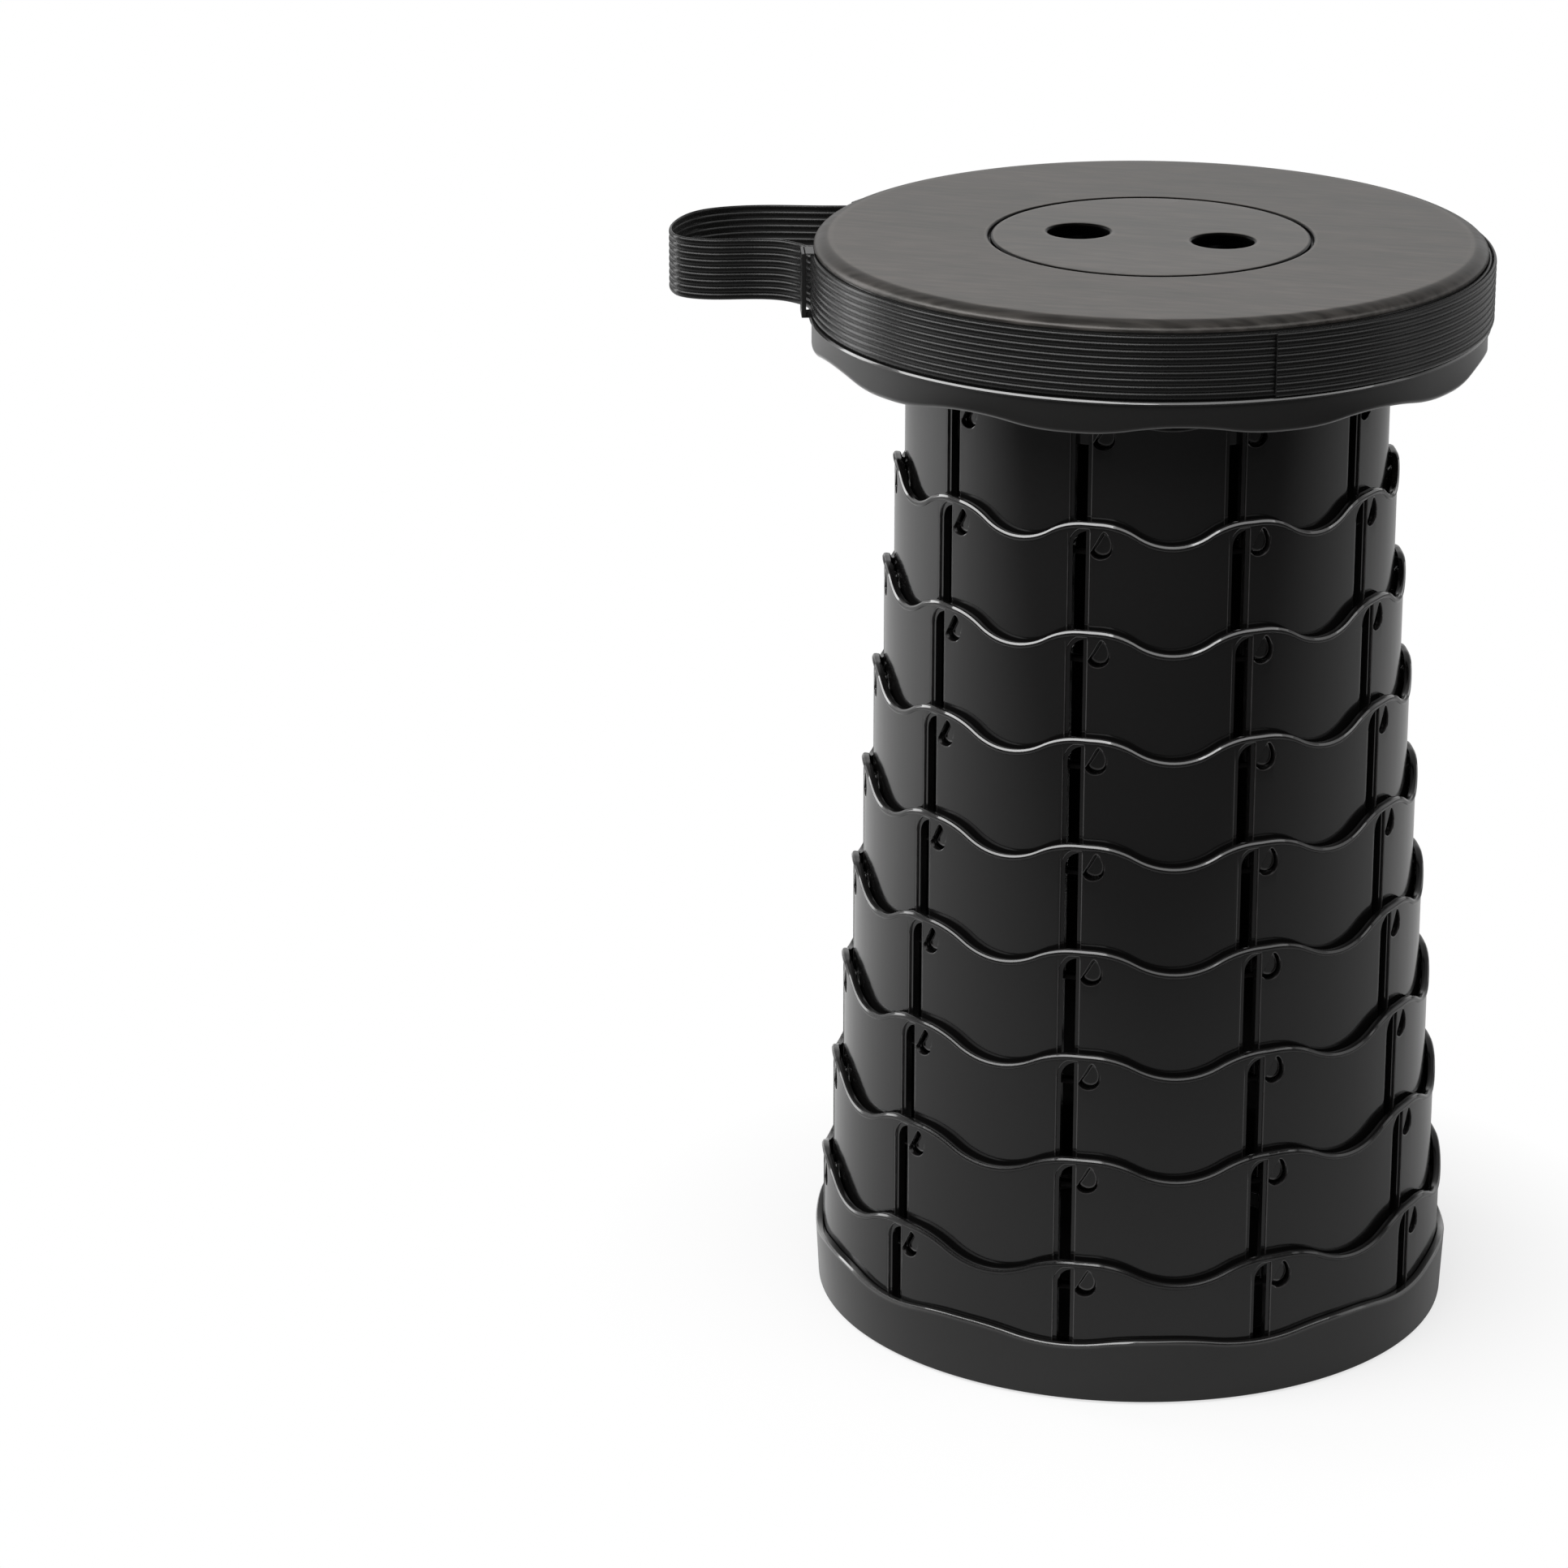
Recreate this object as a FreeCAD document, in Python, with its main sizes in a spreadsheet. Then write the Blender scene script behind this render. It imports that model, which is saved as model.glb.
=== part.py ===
import FreeCAD, Part

# A round telescopic folding stool, pulled up to its full height.
#
# Nine thin rings with wavy upper edges nest in a base cup. Each ring is a
# little narrower than the one that it rises from, has ten slots and ten lock
# pockets, and carries ten lock lugs on its foot, which stand behind the
# pockets of the ring outside it. The seat is a satin plate on a rim with a
# channel for the carrying strap, and a sleeve that goes down inside ring 1.
#
# Lengths are millimetres. The origin is on the stool's axis at the floor, +Z
# is up and the strap's handle stands out towards -X.

import math
import os

import Sketcher
from FreeCAD import Placement, Rotation, Vector

# Driving dimensions: name, value, what it is.
DIMENSIONS = [
    ("collapsed_height", 65.4, "floor to the top of the seat, pushed down"),
    ("stage_travel", 39.8, "how far one ring rises out of the next"),
    ("seat_travel", 34.7, "how far the seat rises over ring 1"),
    ("ring_count", 9, "telescoping rings, the last one seated in the base"),
    ("wave_count", 10, "crests, slots and pockets round each ring"),
    ("running_gap", 0.3, "clearance between pieces that slide past"),
    ("seat_gap", 0.1, "clearance between curved pieces that stay together"),
    ("overrun", 2.0, "how far a cutting tool reaches past what it cuts"),
    ("ring_one_radius", 90.3, "outer radius of the top ring"),
    ("ring_pitch", 3.71, "growth of the outer radius from ring to ring"),
    ("ring_wall", 2.2, "wall of a ring"),
    ("ring_height", 53.1, "foot to crest of a ring"),
    ("wave_height", 8.0, "crest to trough of a ring's upper edge"),
    ("crest_angle", 18.3, "direction of ring 1's first crest, degrees from +X"),
    ("slot_angle", 15.3, "direction of ring 1's first slot, degrees from +X"),
    ("ring_turn", 0.42, "how far a ring stands turned past the one inside it, degrees"),
    ("slot_width", 5.0, "width of a slot"),
    ("slot_sill", 1.8, "rim left under a slot"),
    ("slot_shoulder", 9.8, "crest down to where a slot's top bends over"),
    ("slot_bend", 6.25, "radius of the bend at the top of a slot"),
    ("pocket_offset", 7.9, "slot's middle to the pocket's middle"),
    ("pocket_width", 8.0, "width of a pocket"),
    ("pocket_top", 3.4, "crest down to a pocket's apex"),
    ("pocket_bottom", 13.9, "crest down to a pocket's lower edge"),
    ("lug_inset", 1.2, "how much smaller a lug is than its pocket, each side"),
    ("base_radius", 121.8, "radius of the base at its lower edge"),
    ("base_flare", 1.2, "how much wider the base is at its upper edge"),
    ("base_floor", 2.4, "thickness of the base's floor"),
    ("base_opening_radius", 80.0, "round opening in the base's floor"),
    ("base_upstand_wall", 2.2, "thickness of the lip round the opening"),
    ("base_upstand_height", 4.0, "height of the lip round the opening"),
    ("pad_height", 1.0, "rubber pads below the base"),
    ("pad_radius", 8.0, "radius of a rubber pad"),
    ("pad_count", 6, "rubber pads"),
    ("pad_circle", 104.0, "radius of the circle that the pads stand on"),
    ("edge_wave", 3.0, "height of the wave where skirt and base meet"),
    ("edge_wave_angle", 17.6, "direction of that wave's first hollow in the base, degrees from +X"),
    ("plate_radius", 124.6, "radius of the seat plate"),
    ("plate_thickness", 4.0, "thickness of the seat plate"),
    ("plate_edge", 6.6, "width of the seat plate's soft edge"),
    ("plate_edge_drop", 3.4, "how far that edge falls"),
    ("cap_radius", 59.5, "radius of the centre cap"),
    ("cap_gap", 0.5, "gap round the centre cap"),
    ("cap_thickness", 2.0, "thickness of the centre cap"),
    ("cap_floor", 2.6, "thickness of the plate's floor under the cap"),
    ("cap_step", 2.5, "width of the step that carries the floor"),
    ("finger_radius", 11.6, "radius of a finger hole"),
    ("finger_spacing", 54.6, "distance between the finger holes"),
    ("finger_round", 0.8, "bevel of the cap's and the finger holes' upper edges"),
    ("rib_depth", 3.9, "depth of the ribs under the plate"),
    ("rib_wall", 1.8, "thickness of a rib"),
    ("rib_count", 20, "ribs under the plate"),
    ("rim_radius", 124.2, "floor of the strap's channel"),
    ("rim_wall", 2.4, "wall behind the strap's channel"),
    ("rim_flange", 12.0, "width of the flange that carries the plate"),
    ("rim_flange_thickness", 2.0, "thickness of that flange"),
    ("channel_height", 24.4, "height of the strap's channel"),
    ("lip_radius", 126.5, "lip below the channel"),
    ("lip_height", 1.4, "height of that lip"),
    ("skirt_radius", 125.3, "outside of the skirt"),
    ("skirt_wall", 2.2, "wall of the skirt"),
    ("skirt_drop", 11.4, "lip down to the lowest point of the skirt"),
    ("sleeve_flange", 8.0, "flange at the top of the sleeve"),
    ("sleeve_flange_thickness", 2.0, "thickness of that flange"),
    ("screw_count", 5, "screws through the sleeve's flange"),
    ("screw_radius", 1.5, "radius of a screw's shank"),
    ("screw_grip", 1.8, "how deep a screw goes into the plate"),
    ("screw_head_radius", 3.0, "radius of a screw's head"),
    ("screw_head_height", 1.8, "height of a screw's head"),
    ("strap_width", 23.2, "width of the webbing"),
    ("strap_thickness", 1.3, "thickness of the webbing"),
    ("handle_reach", 57.0, "how far the handle stands out of the channel"),
    ("handle_spread", 36.0, "half the distance between the handle's ends"),
    ("guide_angle", 18.5, "handle's middle to the middle of a guide"),
    ("guide_width", 11.0, "width of a strap guide"),
    ("guide_thickness", 1.7, "thickness of a strap guide"),
    ("guide_bar", 2.4, "width of the bars round a guide's windows"),
    ("guide_foot", 0.4, "thickness of the feet that hold a guide"),
    ("buckle_angle", 133.5, "direction of the buckle, degrees from +X"),
    ("buckle_length", 24.0, "length of the buckle's frame"),
    ("buckle_sheet", 1.4, "thickness of the buckle's frame"),
    ("cheek_depth", 8.2, "how far the buckle's cheeks stand out"),
    ("cheek_clearance", 0.5, "gap between the lever and a cheek"),
    ("pin_radius", 1.25, "radius of the lever's pin"),
    ("pin_gap", 0.05, "running clearance of the lever on its pin"),
    ("cam_radius", 3.3, "radius of the lever's cam to its flats"),
    ("lever_length", 17.0, "pin to the lever's tip"),
    ("lever_thickness", 2.2, "thickness of the lever's plate"),
    ("lever_tab", 4.0, "how far the lever's thumb tab turns up"),
    ("tail_start", 127.5, "direction where the free end leaves the buckle"),
    ("tail_sweep", 184.5, "angle that the free end covers"),
]

doc = FreeCAD.newDocument("FoldingStool")
sheet = doc.addObject("Spreadsheet::Sheet", "Dimensions")
for row, (name, value, meaning) in enumerate(DIMENSIONS, start=1):
    sheet.set("A%d" % row, name)
    sheet.set("B%d" % row, str(value))
    sheet.set("C%d" % row, meaning)
    sheet.setAlias("B%d" % row, name)
doc.recompute()


class Size:
    """A number together with the sheet's expression for it."""

    def __init__(self, number, text):
        self.number = number
        self.text = text

    def joined(self, sign, other, number):
        return Size(number, "(%s %s %s)" % (self.text, sign, size_of(other).text))

    def __add__(self, other):
        return self.joined("+", other, self.number + float(other))

    def __radd__(self, other):
        return size_of(other) + self

    def __sub__(self, other):
        return self.joined("-", other, self.number - float(other))

    def __rsub__(self, other):
        return size_of(other) - self

    def __mul__(self, other):
        return self.joined("*", other, self.number * float(other))

    def __rmul__(self, other):
        return size_of(other) * self

    def __truediv__(self, other):
        return self.joined("/", other, self.number / float(other))

    def __neg__(self):
        return Size(-self.number, "(-1 * %s)" % self.text)

    def __float__(self):
        return float(self.number)


def size_of(value):
    """Return value as a Size; plain numbers are counts, shares or zero."""
    if isinstance(value, Size):
        return value
    return Size(float(value), repr(value))


def dim(name):
    """The sheet's value of that name."""
    return Size(float(sheet.get(name)), "Dimensions.%s" % name)


def count(name):
    """The sheet's whole number of that name."""
    return int(round(float(sheet.get(name))))


def bind(thing, **sizes):
    """Bind properties of an object to the sheet."""
    for prop, value in sizes.items():
        thing.setExpression(prop, size_of(value).text)


def lift(thing, height):
    """Bind the height at which an object stands."""
    thing.setExpression("Placement.Base.z", size_of(height).text)


def turned(thing, degrees):
    """Turn an object about the stool's axis."""
    thing.Placement = Placement(thing.Placement.Base, Rotation(Vector(0, 0, 1), degrees))


# Heights and radii that several pieces share.
rings = count("ring_count")
waves = count("wave_count")
wave_step = 360 / waves
ring_seat = dim("pad_height") + dim("base_floor")
seat_top = dim("collapsed_height") + (rings - 1) * dim("stage_travel") + dim("seat_travel")
plate_underside = seat_top - dim("plate_thickness")
crest_to_pocket_bottom = dim("ring_height") - dim("pocket_bottom")
lug_height = dim("ring_pitch") - dim("ring_wall") - dim("running_gap")
tool_outer = dim("lip_radius") + dim("overrun")
skirt_low = -(dim("channel_height") + dim("lip_height") + dim("skirt_drop"))


def ring_radius(number):
    """Outer radius of a ring; number 0 is the seat's sleeve."""
    return dim("ring_one_radius") + (number - 1) * dim("ring_pitch")


def ring_direction(number):
    """Degrees by which a ring stands turned past ring 1."""
    return float(dim("ring_turn")) * (number - 1)


def ring_foot(number):
    """Height of a ring's foot at full height."""
    if number == rings:
        return ring_seat
    return ring_seat + dim("running_gap") + (rings - number) * dim("stage_travel")


def body(label):
    """A new body of that name."""
    made = doc.addObject("PartDesign::Body", label + "_body")
    made.Label = label
    return made


def sketch(owner, role, name):
    """A sketch on one of its body's origin planes."""
    made = owner.newObject("Sketcher::SketchObject", name)
    plane = [f for f in owner.Origin.OriginFeatures if f.Role == role][0]
    made.AttachmentSupport = [(plane, "")]
    made.MapMode = "FlatFace"
    return made


def pin_point(drawing, item, end, x, y):
    """Hold a point of the sketch at sheet sizes from its origin."""
    for kind, axis, value in (("DistanceX", -2, x), ("DistanceY", -1, y)):
        value = size_of(value)
        if float(value) == 0:
            drawing.addConstraint(Sketcher.Constraint("PointOnObject", item, end, axis))
        else:
            index = drawing.addConstraint(
                Sketcher.Constraint(kind, -1, 1, item, end, float(value)))
            drawing.setExpression("Constraints[%d]" % index, value.text)


def polygon(drawing, points):
    """Draw a closed outline through points that are sheet sizes."""
    corners = [Vector(float(x), float(y), 0) for x, y in points]
    total = len(corners)
    for i in range(total):
        drawing.addGeometry(Part.LineSegment(corners[i], corners[(i + 1) % total]), False)
    for i in range(total):
        drawing.addConstraint(Sketcher.Constraint("Coincident", i, 2, (i + 1) % total, 1))
    for i, (x, y) in enumerate(points):
        pin_point(drawing, i, 1, x, y)


def circle(drawing, x, y, radius):
    """Draw a circle whose centre and radius are sheet sizes."""
    item = drawing.addGeometry(
        Part.Circle(Vector(float(x), float(y), 0), Vector(0, 0, 1), float(radius)), False)
    pin_point(drawing, item, 3, x, y)
    index = drawing.addConstraint(Sketcher.Constraint("Radius", item, float(radius)))
    drawing.setExpression("Constraints[%d]" % index, size_of(radius).text)


def revolve(owner, name, points):
    """Turn an outline of (radius, height) points about the stool's axis."""
    drawing = sketch(owner, "XZ_Plane", name + "_outline")
    polygon(drawing, points)
    made = owner.newObject("PartDesign::Revolution", name)
    made.Profile = drawing
    made.ReferenceAxis = (drawing, ["V_Axis"])
    made.Angle = 360
    drawing.Visibility = False
    doc.recompute()
    return made


def extrude(owner, name, drawing, length, downwards=False):
    """Pad a sketch of the body to a length."""
    made = owner.newObject("PartDesign::Pad", name)
    made.Profile = drawing
    bind(made, Length=length)
    made.Reversed = downwards
    drawing.Visibility = False
    doc.recompute()
    return made


def bevel_edges(owner, name, edges, size):
    """Bevel edges of the body's last feature."""
    last = owner.Tip
    made = owner.newObject("PartDesign::Chamfer", name)
    made.Base = (last, edges)
    bind(made, Size=size)
    doc.recompute()
    return made


def pattern(owner, feature, occurrences):
    """Repeat a feature round the stool's axis."""
    made = owner.newObject("PartDesign::PolarPattern", feature.Name + "_pattern")
    axis = [f for f in owner.Origin.OriginFeatures if f.Role == "Z_Axis"][0]
    made.Originals = [feature]
    made.Axis = (axis, [""])
    made.Angle = 360
    made.Occurrences = occurrences
    owner.Tip = made
    doc.recompute()
    return made


def tube(name, outer, inner, length, sweep=360):
    """A tube, or a part of one, as one cylinder cut out of another."""
    shell = doc.addObject("Part::Cylinder", name + "_outside")
    bore = doc.addObject("Part::Cylinder", name + "_inside")
    bind(shell, Radius=outer, Height=length, Angle=sweep)
    bind(bore, Radius=inner, Height=length)
    made = doc.addObject("Part::Cut", name)
    made.Base = shell
    made.Tool = bore
    return made


def shaped(name, shape, label=None):
    """A piece whose shape is computed here from the sheet's sizes."""
    made = doc.addObject("Part::Feature", name)
    made.Label = label or name
    made.Shape = shape
    return made


def wave_outline(radius, level, depth, upwards):
    """Upright outline of the hollow between two crests of a wavy edge.

    A crest bends over into a hollow and up again in four equal arcs. level
    is the crests' height, and the hollow lies depth beyond it, below when
    upwards is 1 and above when it is -1. The outline is closed past level.
    """
    span = radius * math.sin(math.pi / waves) * TROUGH_SHARE
    bend = (span ** 2 + depth ** 2) / (4 * depth)
    tilt = math.asin(span / 2 / bend) / 2
    over = float(dim("overrun"))

    def point(across, down):
        return Vector(across, 0, level - upwards * down)

    crest_x = span - bend * math.sin(tilt)
    crest_down = bend - bend * math.cos(tilt)
    left = Part.Arc(point(-span, 0), point(-crest_x, crest_down), point(-span / 2, depth / 2))
    hollow = Part.Arc(point(-span / 2, depth / 2), point(0, depth), point(span / 2, depth / 2))
    right = Part.Arc(point(span / 2, depth / 2), point(crest_x, crest_down), point(span, 0))
    edges = [left.toShape(), hollow.toShape(), right.toShape()]
    corners = [point(span, 0), point(span, -over), point(-span, -over), point(-span, 0)]
    for first, second in zip(corners, corners[1:]):
        edges.append(Part.LineSegment(first, second).toShape())
    return Part.Wire(edges)


# Share of the way from a hollow's middle to the crest's that bends.
TROUGH_SHARE = 0.92


def wave_cutters(radius, wall, level, depth, upwards, angle):
    """Cutters that leave a wavy edge on a round wall of that radius."""
    outline = wave_outline(radius, level, depth, upwards)
    near = (radius - wall - float(dim("overrun"))) * math.cos(math.pi / waves)
    return prism_round_axis(outline, near, float(tool_outer), angle)


def prism_round_axis(outline, near, far, angle):
    """Copies round the axis of an upright outline pushed outwards.

    outline is a wire in the XZ plane, with x measured sideways from the
    direction angle; each copy reaches from radius near to radius far.
    """
    face = Part.Face(outline)
    face.translate(Vector(0, near, 0))
    solid = face.extrude(Vector(0, far - near, 0))
    mirrored = solid.mirror(Vector(0, 0, 0), Vector(1, 0, 0))
    copies = []
    for i in range(waves):
        copy = mirrored.copy()
        turn = angle + i * wave_step - 90
        copy.rotate(Vector(0, 0, 0), Vector(0, 0, 1), turn)
        copies.append(copy)
    return copies


def slot_outline():
    """Upright slot whose top bends over to the right, towards the pocket."""
    half = float(dim("slot_width")) / 2
    sill = float(dim("slot_sill"))
    bend = float(dim("slot_bend"))
    shoulder = float(dim("ring_height") - dim("slot_shoulder"))
    middle_x = bend - half
    reach = math.acos((middle_x - half) / bend)
    top = shoulder + bend * math.sin(reach)
    half_way = (math.pi + math.pi - reach) / 2
    arc = Part.Arc(
        Vector(-half, 0, shoulder),
        Vector(middle_x + bend * math.cos(half_way), 0, shoulder + bend * math.sin(half_way)),
        Vector(half, 0, top))
    return Part.Wire([
        Part.LineSegment(Vector(half, 0, sill), Vector(-half, 0, sill)).toShape(),
        Part.LineSegment(Vector(-half, 0, sill), Vector(-half, 0, shoulder)).toShape(),
        arc.toShape(),
        Part.LineSegment(Vector(half, 0, top), Vector(half, 0, sill)).toShape(),
    ])


# Corners of a lock pocket: shares of its width from its middle and of its
# height from its lower edge. The apex is up and the right side is fuller.
POCKET_SHARES = [(0.5, 0.28), (0.22, 0.04), (-0.12, 0.0), (-0.5, 0.2), (0.06, 1.0), (0.27, 0.92)]


def pocket_outline(inset, lower_edge):
    """Outline of a pocket, or of a lug when inset is more than zero."""
    middle = float(dim("pocket_offset"))
    width = float(dim("pocket_width")) - 2 * inset
    height = float(dim("pocket_bottom") - dim("pocket_top")) - 2 * inset
    corners = []
    for across, up in POCKET_SHARES:
        corners.append(Vector(middle + across * width, 0, lower_edge + inset + up * height))
    return Part.makePolygon(corners + corners[:1])


def lugs(number):
    """Lock lugs round the foot of a ring, or of the sleeve for number 0.

    They stand behind the pockets of the next ring, which is turned a little.
    """
    radius = float(ring_radius(number))
    near = radius - float(dim("ring_wall")) / 2
    far = radius + float(lug_height)
    foot = float(crest_to_pocket_bottom - dim("stage_travel"))
    outline = pocket_outline(float(dim("lug_inset")), foot)
    round_face = Part.makeCylinder(far, float(dim("ring_height")))
    angle = float(dim("slot_angle") + dim("ring_turn"))
    prisms = prism_round_axis(outline, near, float(tool_outer), angle)
    return [prism.common(round_face) for prism in prisms]


def make_opening_tool():
    """Cutters for the slots and pockets, which all rings share."""
    near = float(ring_radius(0) - dim("ring_wall") - dim("overrun"))
    angle = float(dim("slot_angle"))
    cutters = prism_round_axis(slot_outline(), near, float(tool_outer), angle)
    cutters += prism_round_axis(pocket_outline(0, float(crest_to_pocket_bottom)),
                                near, float(tool_outer), angle)
    return shaped("slots_and_pockets", Part.makeCompound(cutters))


def make_ring(number, opening_tool):
    """One ring: wall with a wavy upper edge, slots, pockets and lugs.

    The last ring is seated in the base and has no lugs.
    """
    name = "ring_%d" % number
    radius = ring_radius(number)
    hollow_angle = float(dim("crest_angle")) + wave_step / 2
    wall = tube(name + "_wall", radius, radius - dim("ring_wall"), dim("ring_height"))
    waves_tool = shaped(name + "_waves", Part.makeCompound(wave_cutters(
        float(radius), float(dim("ring_wall")), float(dim("ring_height")),
        float(dim("wave_height")), 1, hollow_angle)))
    wavy = doc.addObject("Part::Cut", name + "_wavy")
    wavy.Base = wall
    wavy.Tool = waves_tool
    opened = doc.addObject("Part::Cut", name + "_opened")
    opened.Base = wavy
    opened.Tool = opening_tool
    ring = opened
    if number < rings:
        lug_group = shaped(name + "_lugs", Part.makeCompound(lugs(number)))
        ring = doc.addObject("Part::MultiFuse", name + "_whole")
        ring.Shapes = [opened, lug_group]
    ring.Label = name
    turned(ring, ring_direction(number))
    lift(ring, ring_foot(number))
    return ring


def make_sleeve():
    """The seat's innermost tube, with a screw flange and lock lugs."""
    radius = ring_radius(0)
    inner = radius - dim("ring_wall")
    length = plate_underside - ring_foot(0)
    piece = body("seat_sleeve_tube")
    revolve(piece, "sleeve_tube", [
        (radius, -length), (radius, 0), (inner - dim("sleeve_flange"), 0),
        (inner - dim("sleeve_flange"), -dim("sleeve_flange_thickness")),
        (inner, -dim("sleeve_flange_thickness")), (inner, -length)])
    holes = sketch(piece, "XY_Plane", "sleeve_screw_hole")
    circle(holes, screw_circle(), 0, dim("screw_radius") + dim("seat_gap"))
    cut = piece.newObject("PartDesign::Pocket", "sleeve_holes")
    cut.Profile = holes
    cut.Type = "ThroughAll"
    cut.Midplane = True
    doc.recompute()
    pattern(piece, cut, count("screw_count"))
    lug_group = shaped("sleeve_lugs", Part.makeCompound(
        [lug.translated(Vector(0, 0, -float(length))) for lug in lugs(0)]))
    turned(lug_group, ring_direction(0))
    made = doc.addObject("Part::MultiFuse", "seat_sleeve_whole")
    made.Label = "seat_sleeve"
    made.Shapes = [piece, lug_group]
    lift(made, plate_underside)
    return made


def screw_circle():
    """Radius at which the screws stand in the sleeve's flange."""
    return ring_radius(0) - dim("ring_wall") - dim("sleeve_flange") / 2


# Shares of a quarter turn at the corners of the seat plate's soft edge.
EDGE_SHARES = (0.0, 0.3, 0.55, 0.8, 1.0)


def soft_edge():
    """Corners of the seat plate's edge, on a quarter of an ellipse."""
    corners = []
    for share in EDGE_SHARES:
        turn = math.pi / 2 * share
        inwards = dim("plate_edge") * (1 - math.sin(turn))
        down = dim("plate_edge_drop") * (1 - math.cos(turn))
        corners.append((dim("plate_radius") - inwards, dim("plate_thickness") - down))
    return corners


def make_seat_plate():
    """The seat: a plate with a rounded edge, a recess and ribs below."""
    piece = body("seat_plate")
    recess = dim("cap_radius") + dim("cap_gap")
    floor_under = dim("plate_thickness") - dim("cap_thickness") - dim("cap_floor")
    revolve(piece, "seat_annulus", [(recess, 0), (recess, dim("plate_thickness"))] + soft_edge()
            + [(dim("plate_radius"), 0)])
    floor = sketch(piece, "XY_Plane", "cap_floor_outline")
    floor.setExpression("AttachmentOffset.Base.z", floor_under.text)
    circle(floor, 0, 0, recess + dim("cap_step"))
    extrude(piece, "cap_floor", floor, dim("cap_floor"))
    fingers = sketch(piece, "XY_Plane", "finger_holes_floor")
    for side in (-1, 1):
        circle(fingers, side * dim("finger_spacing") / 2, 0, dim("finger_radius"))
    cut = piece.newObject("PartDesign::Pocket", "finger_passages")
    cut.Profile = fingers
    cut.Type = "ThroughAll"
    cut.Midplane = True
    doc.recompute()
    holes = sketch(piece, "XY_Plane", "screw_hole")
    circle(holes, screw_circle(), 0, dim("screw_radius") + dim("seat_gap"))
    blind = piece.newObject("PartDesign::Pocket", "screw_holes")
    blind.Profile = holes
    blind.Reversed = True
    bind(blind, Length=dim("screw_grip") + dim("seat_gap"))
    doc.recompute()
    pattern(piece, blind, count("screw_count"))
    sleeve_inner = ring_radius(0) - dim("ring_wall")
    spans = (
        ("inner_rib", recess + dim("cap_step") - dim("overrun") / 2,
         sleeve_inner - dim("sleeve_flange") - dim("running_gap")),
        ("outer_rib", ring_radius(0) + dim("running_gap"),
         dim("rim_radius") - dim("rim_flange") - dim("running_gap")),
    )
    for name, near, far in spans:
        rib = sketch(piece, "XY_Plane", name + "_outline")
        polygon(rib, [
            (near, -dim("rib_wall") / 2), (far, -dim("rib_wall") / 2),
            (far, dim("rib_wall") / 2), (near, dim("rib_wall") / 2)])
        pad = extrude(piece, name, rib, dim("rib_depth"), downwards=True)
        pattern(piece, pad, count("rib_count"))
    lift(piece, plate_underside)
    return piece


def make_centre_cap():
    """The round cap in the seat's recess, with two finger holes."""
    piece = body("centre_cap")
    disc = sketch(piece, "XY_Plane", "cap_outline")
    circle(disc, 0, 0, dim("cap_radius"))
    for side in (-1, 1):
        circle(disc, side * dim("finger_spacing") / 2, 0, dim("finger_radius"))
    extrude(piece, "cap_disc", disc, dim("cap_thickness"))
    names = []
    for index, edge in enumerate(piece.Shape.Edges, start=1):
        curve = edge.Curve
        if isinstance(curve, Part.Circle) and curve.Center.z > 0:
            names.append("Edge%d" % index)
    bevel_edges(piece, "cap_edges", names, dim("finger_round"))
    lift(piece, seat_top - dim("cap_thickness"))
    return piece


def make_seat_rim():
    """The rim under the plate: strap channel, lip and wavy skirt."""
    piece = body("seat_rim_turned")
    inner = dim("rim_radius") - dim("rim_wall")
    lip_top = -dim("channel_height")
    lip_under = lip_top - dim("lip_height")
    skirt_inner = dim("skirt_radius") - dim("skirt_wall")
    revolve(piece, "rim_ring", [
        (dim("rim_radius") - dim("rim_flange"), 0), (dim("rim_radius"), 0),
        (dim("rim_radius"), lip_top), (dim("lip_radius"), lip_top),
        (dim("lip_radius"), lip_under), (dim("skirt_radius"), lip_under),
        (dim("skirt_radius"), skirt_low), (skirt_inner, skirt_low),
        (skirt_inner, lip_under), (inner, lip_under - dim("lip_height")),
        (inner, -dim("rim_flange_thickness")),
        (dim("rim_radius") - dim("rim_flange"), -dim("rim_flange_thickness"))])
    cutters = wave_cutters(float(dim("skirt_radius")), float(dim("skirt_wall")), float(skirt_low),
                           float(dim("edge_wave")), -1, float(dim("edge_wave_angle")) + wave_step / 2)
    tool = shaped("skirt_waves", Part.makeCompound(cutters))
    made = doc.addObject("Part::Cut", "seat_rim_whole")
    made.Label = "seat_rim"
    made.Base = piece
    made.Tool = tool
    lift(made, plate_underside)
    return made


def make_base_cup():
    """The foot: a floor with a round opening and a wall with a wavy edge."""
    piece = body("base_cup_turned")
    cup_inner = ring_radius(rings) + dim("seat_gap")
    skirt_edge = dim("collapsed_height") - dim("plate_thickness") + skirt_low
    top = skirt_edge + dim("edge_wave") - 2 * dim("running_gap")
    upstand = dim("base_opening_radius") + dim("base_upstand_wall")
    revolve(piece, "base_ring", [
        (dim("base_opening_radius"), dim("pad_height")), (dim("base_radius"), dim("pad_height")),
        (dim("base_radius") + dim("base_flare"), top), (cup_inner, top),
        (cup_inner, ring_seat), (upstand, ring_seat),
        (upstand, ring_seat + dim("base_upstand_height")),
        (dim("base_opening_radius"), ring_seat + dim("base_upstand_height"))])
    cutters = wave_cutters(float(dim("base_radius")), float(dim("base_radius") - cup_inner),
                           float(top), float(dim("edge_wave")), 1, float(dim("edge_wave_angle")))
    tool = shaped("base_waves", Part.makeCompound(cutters))
    made = doc.addObject("Part::Cut", "base_cup_whole")
    made.Label = "base_cup"
    made.Base = piece
    made.Tool = tool
    return made


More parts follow.
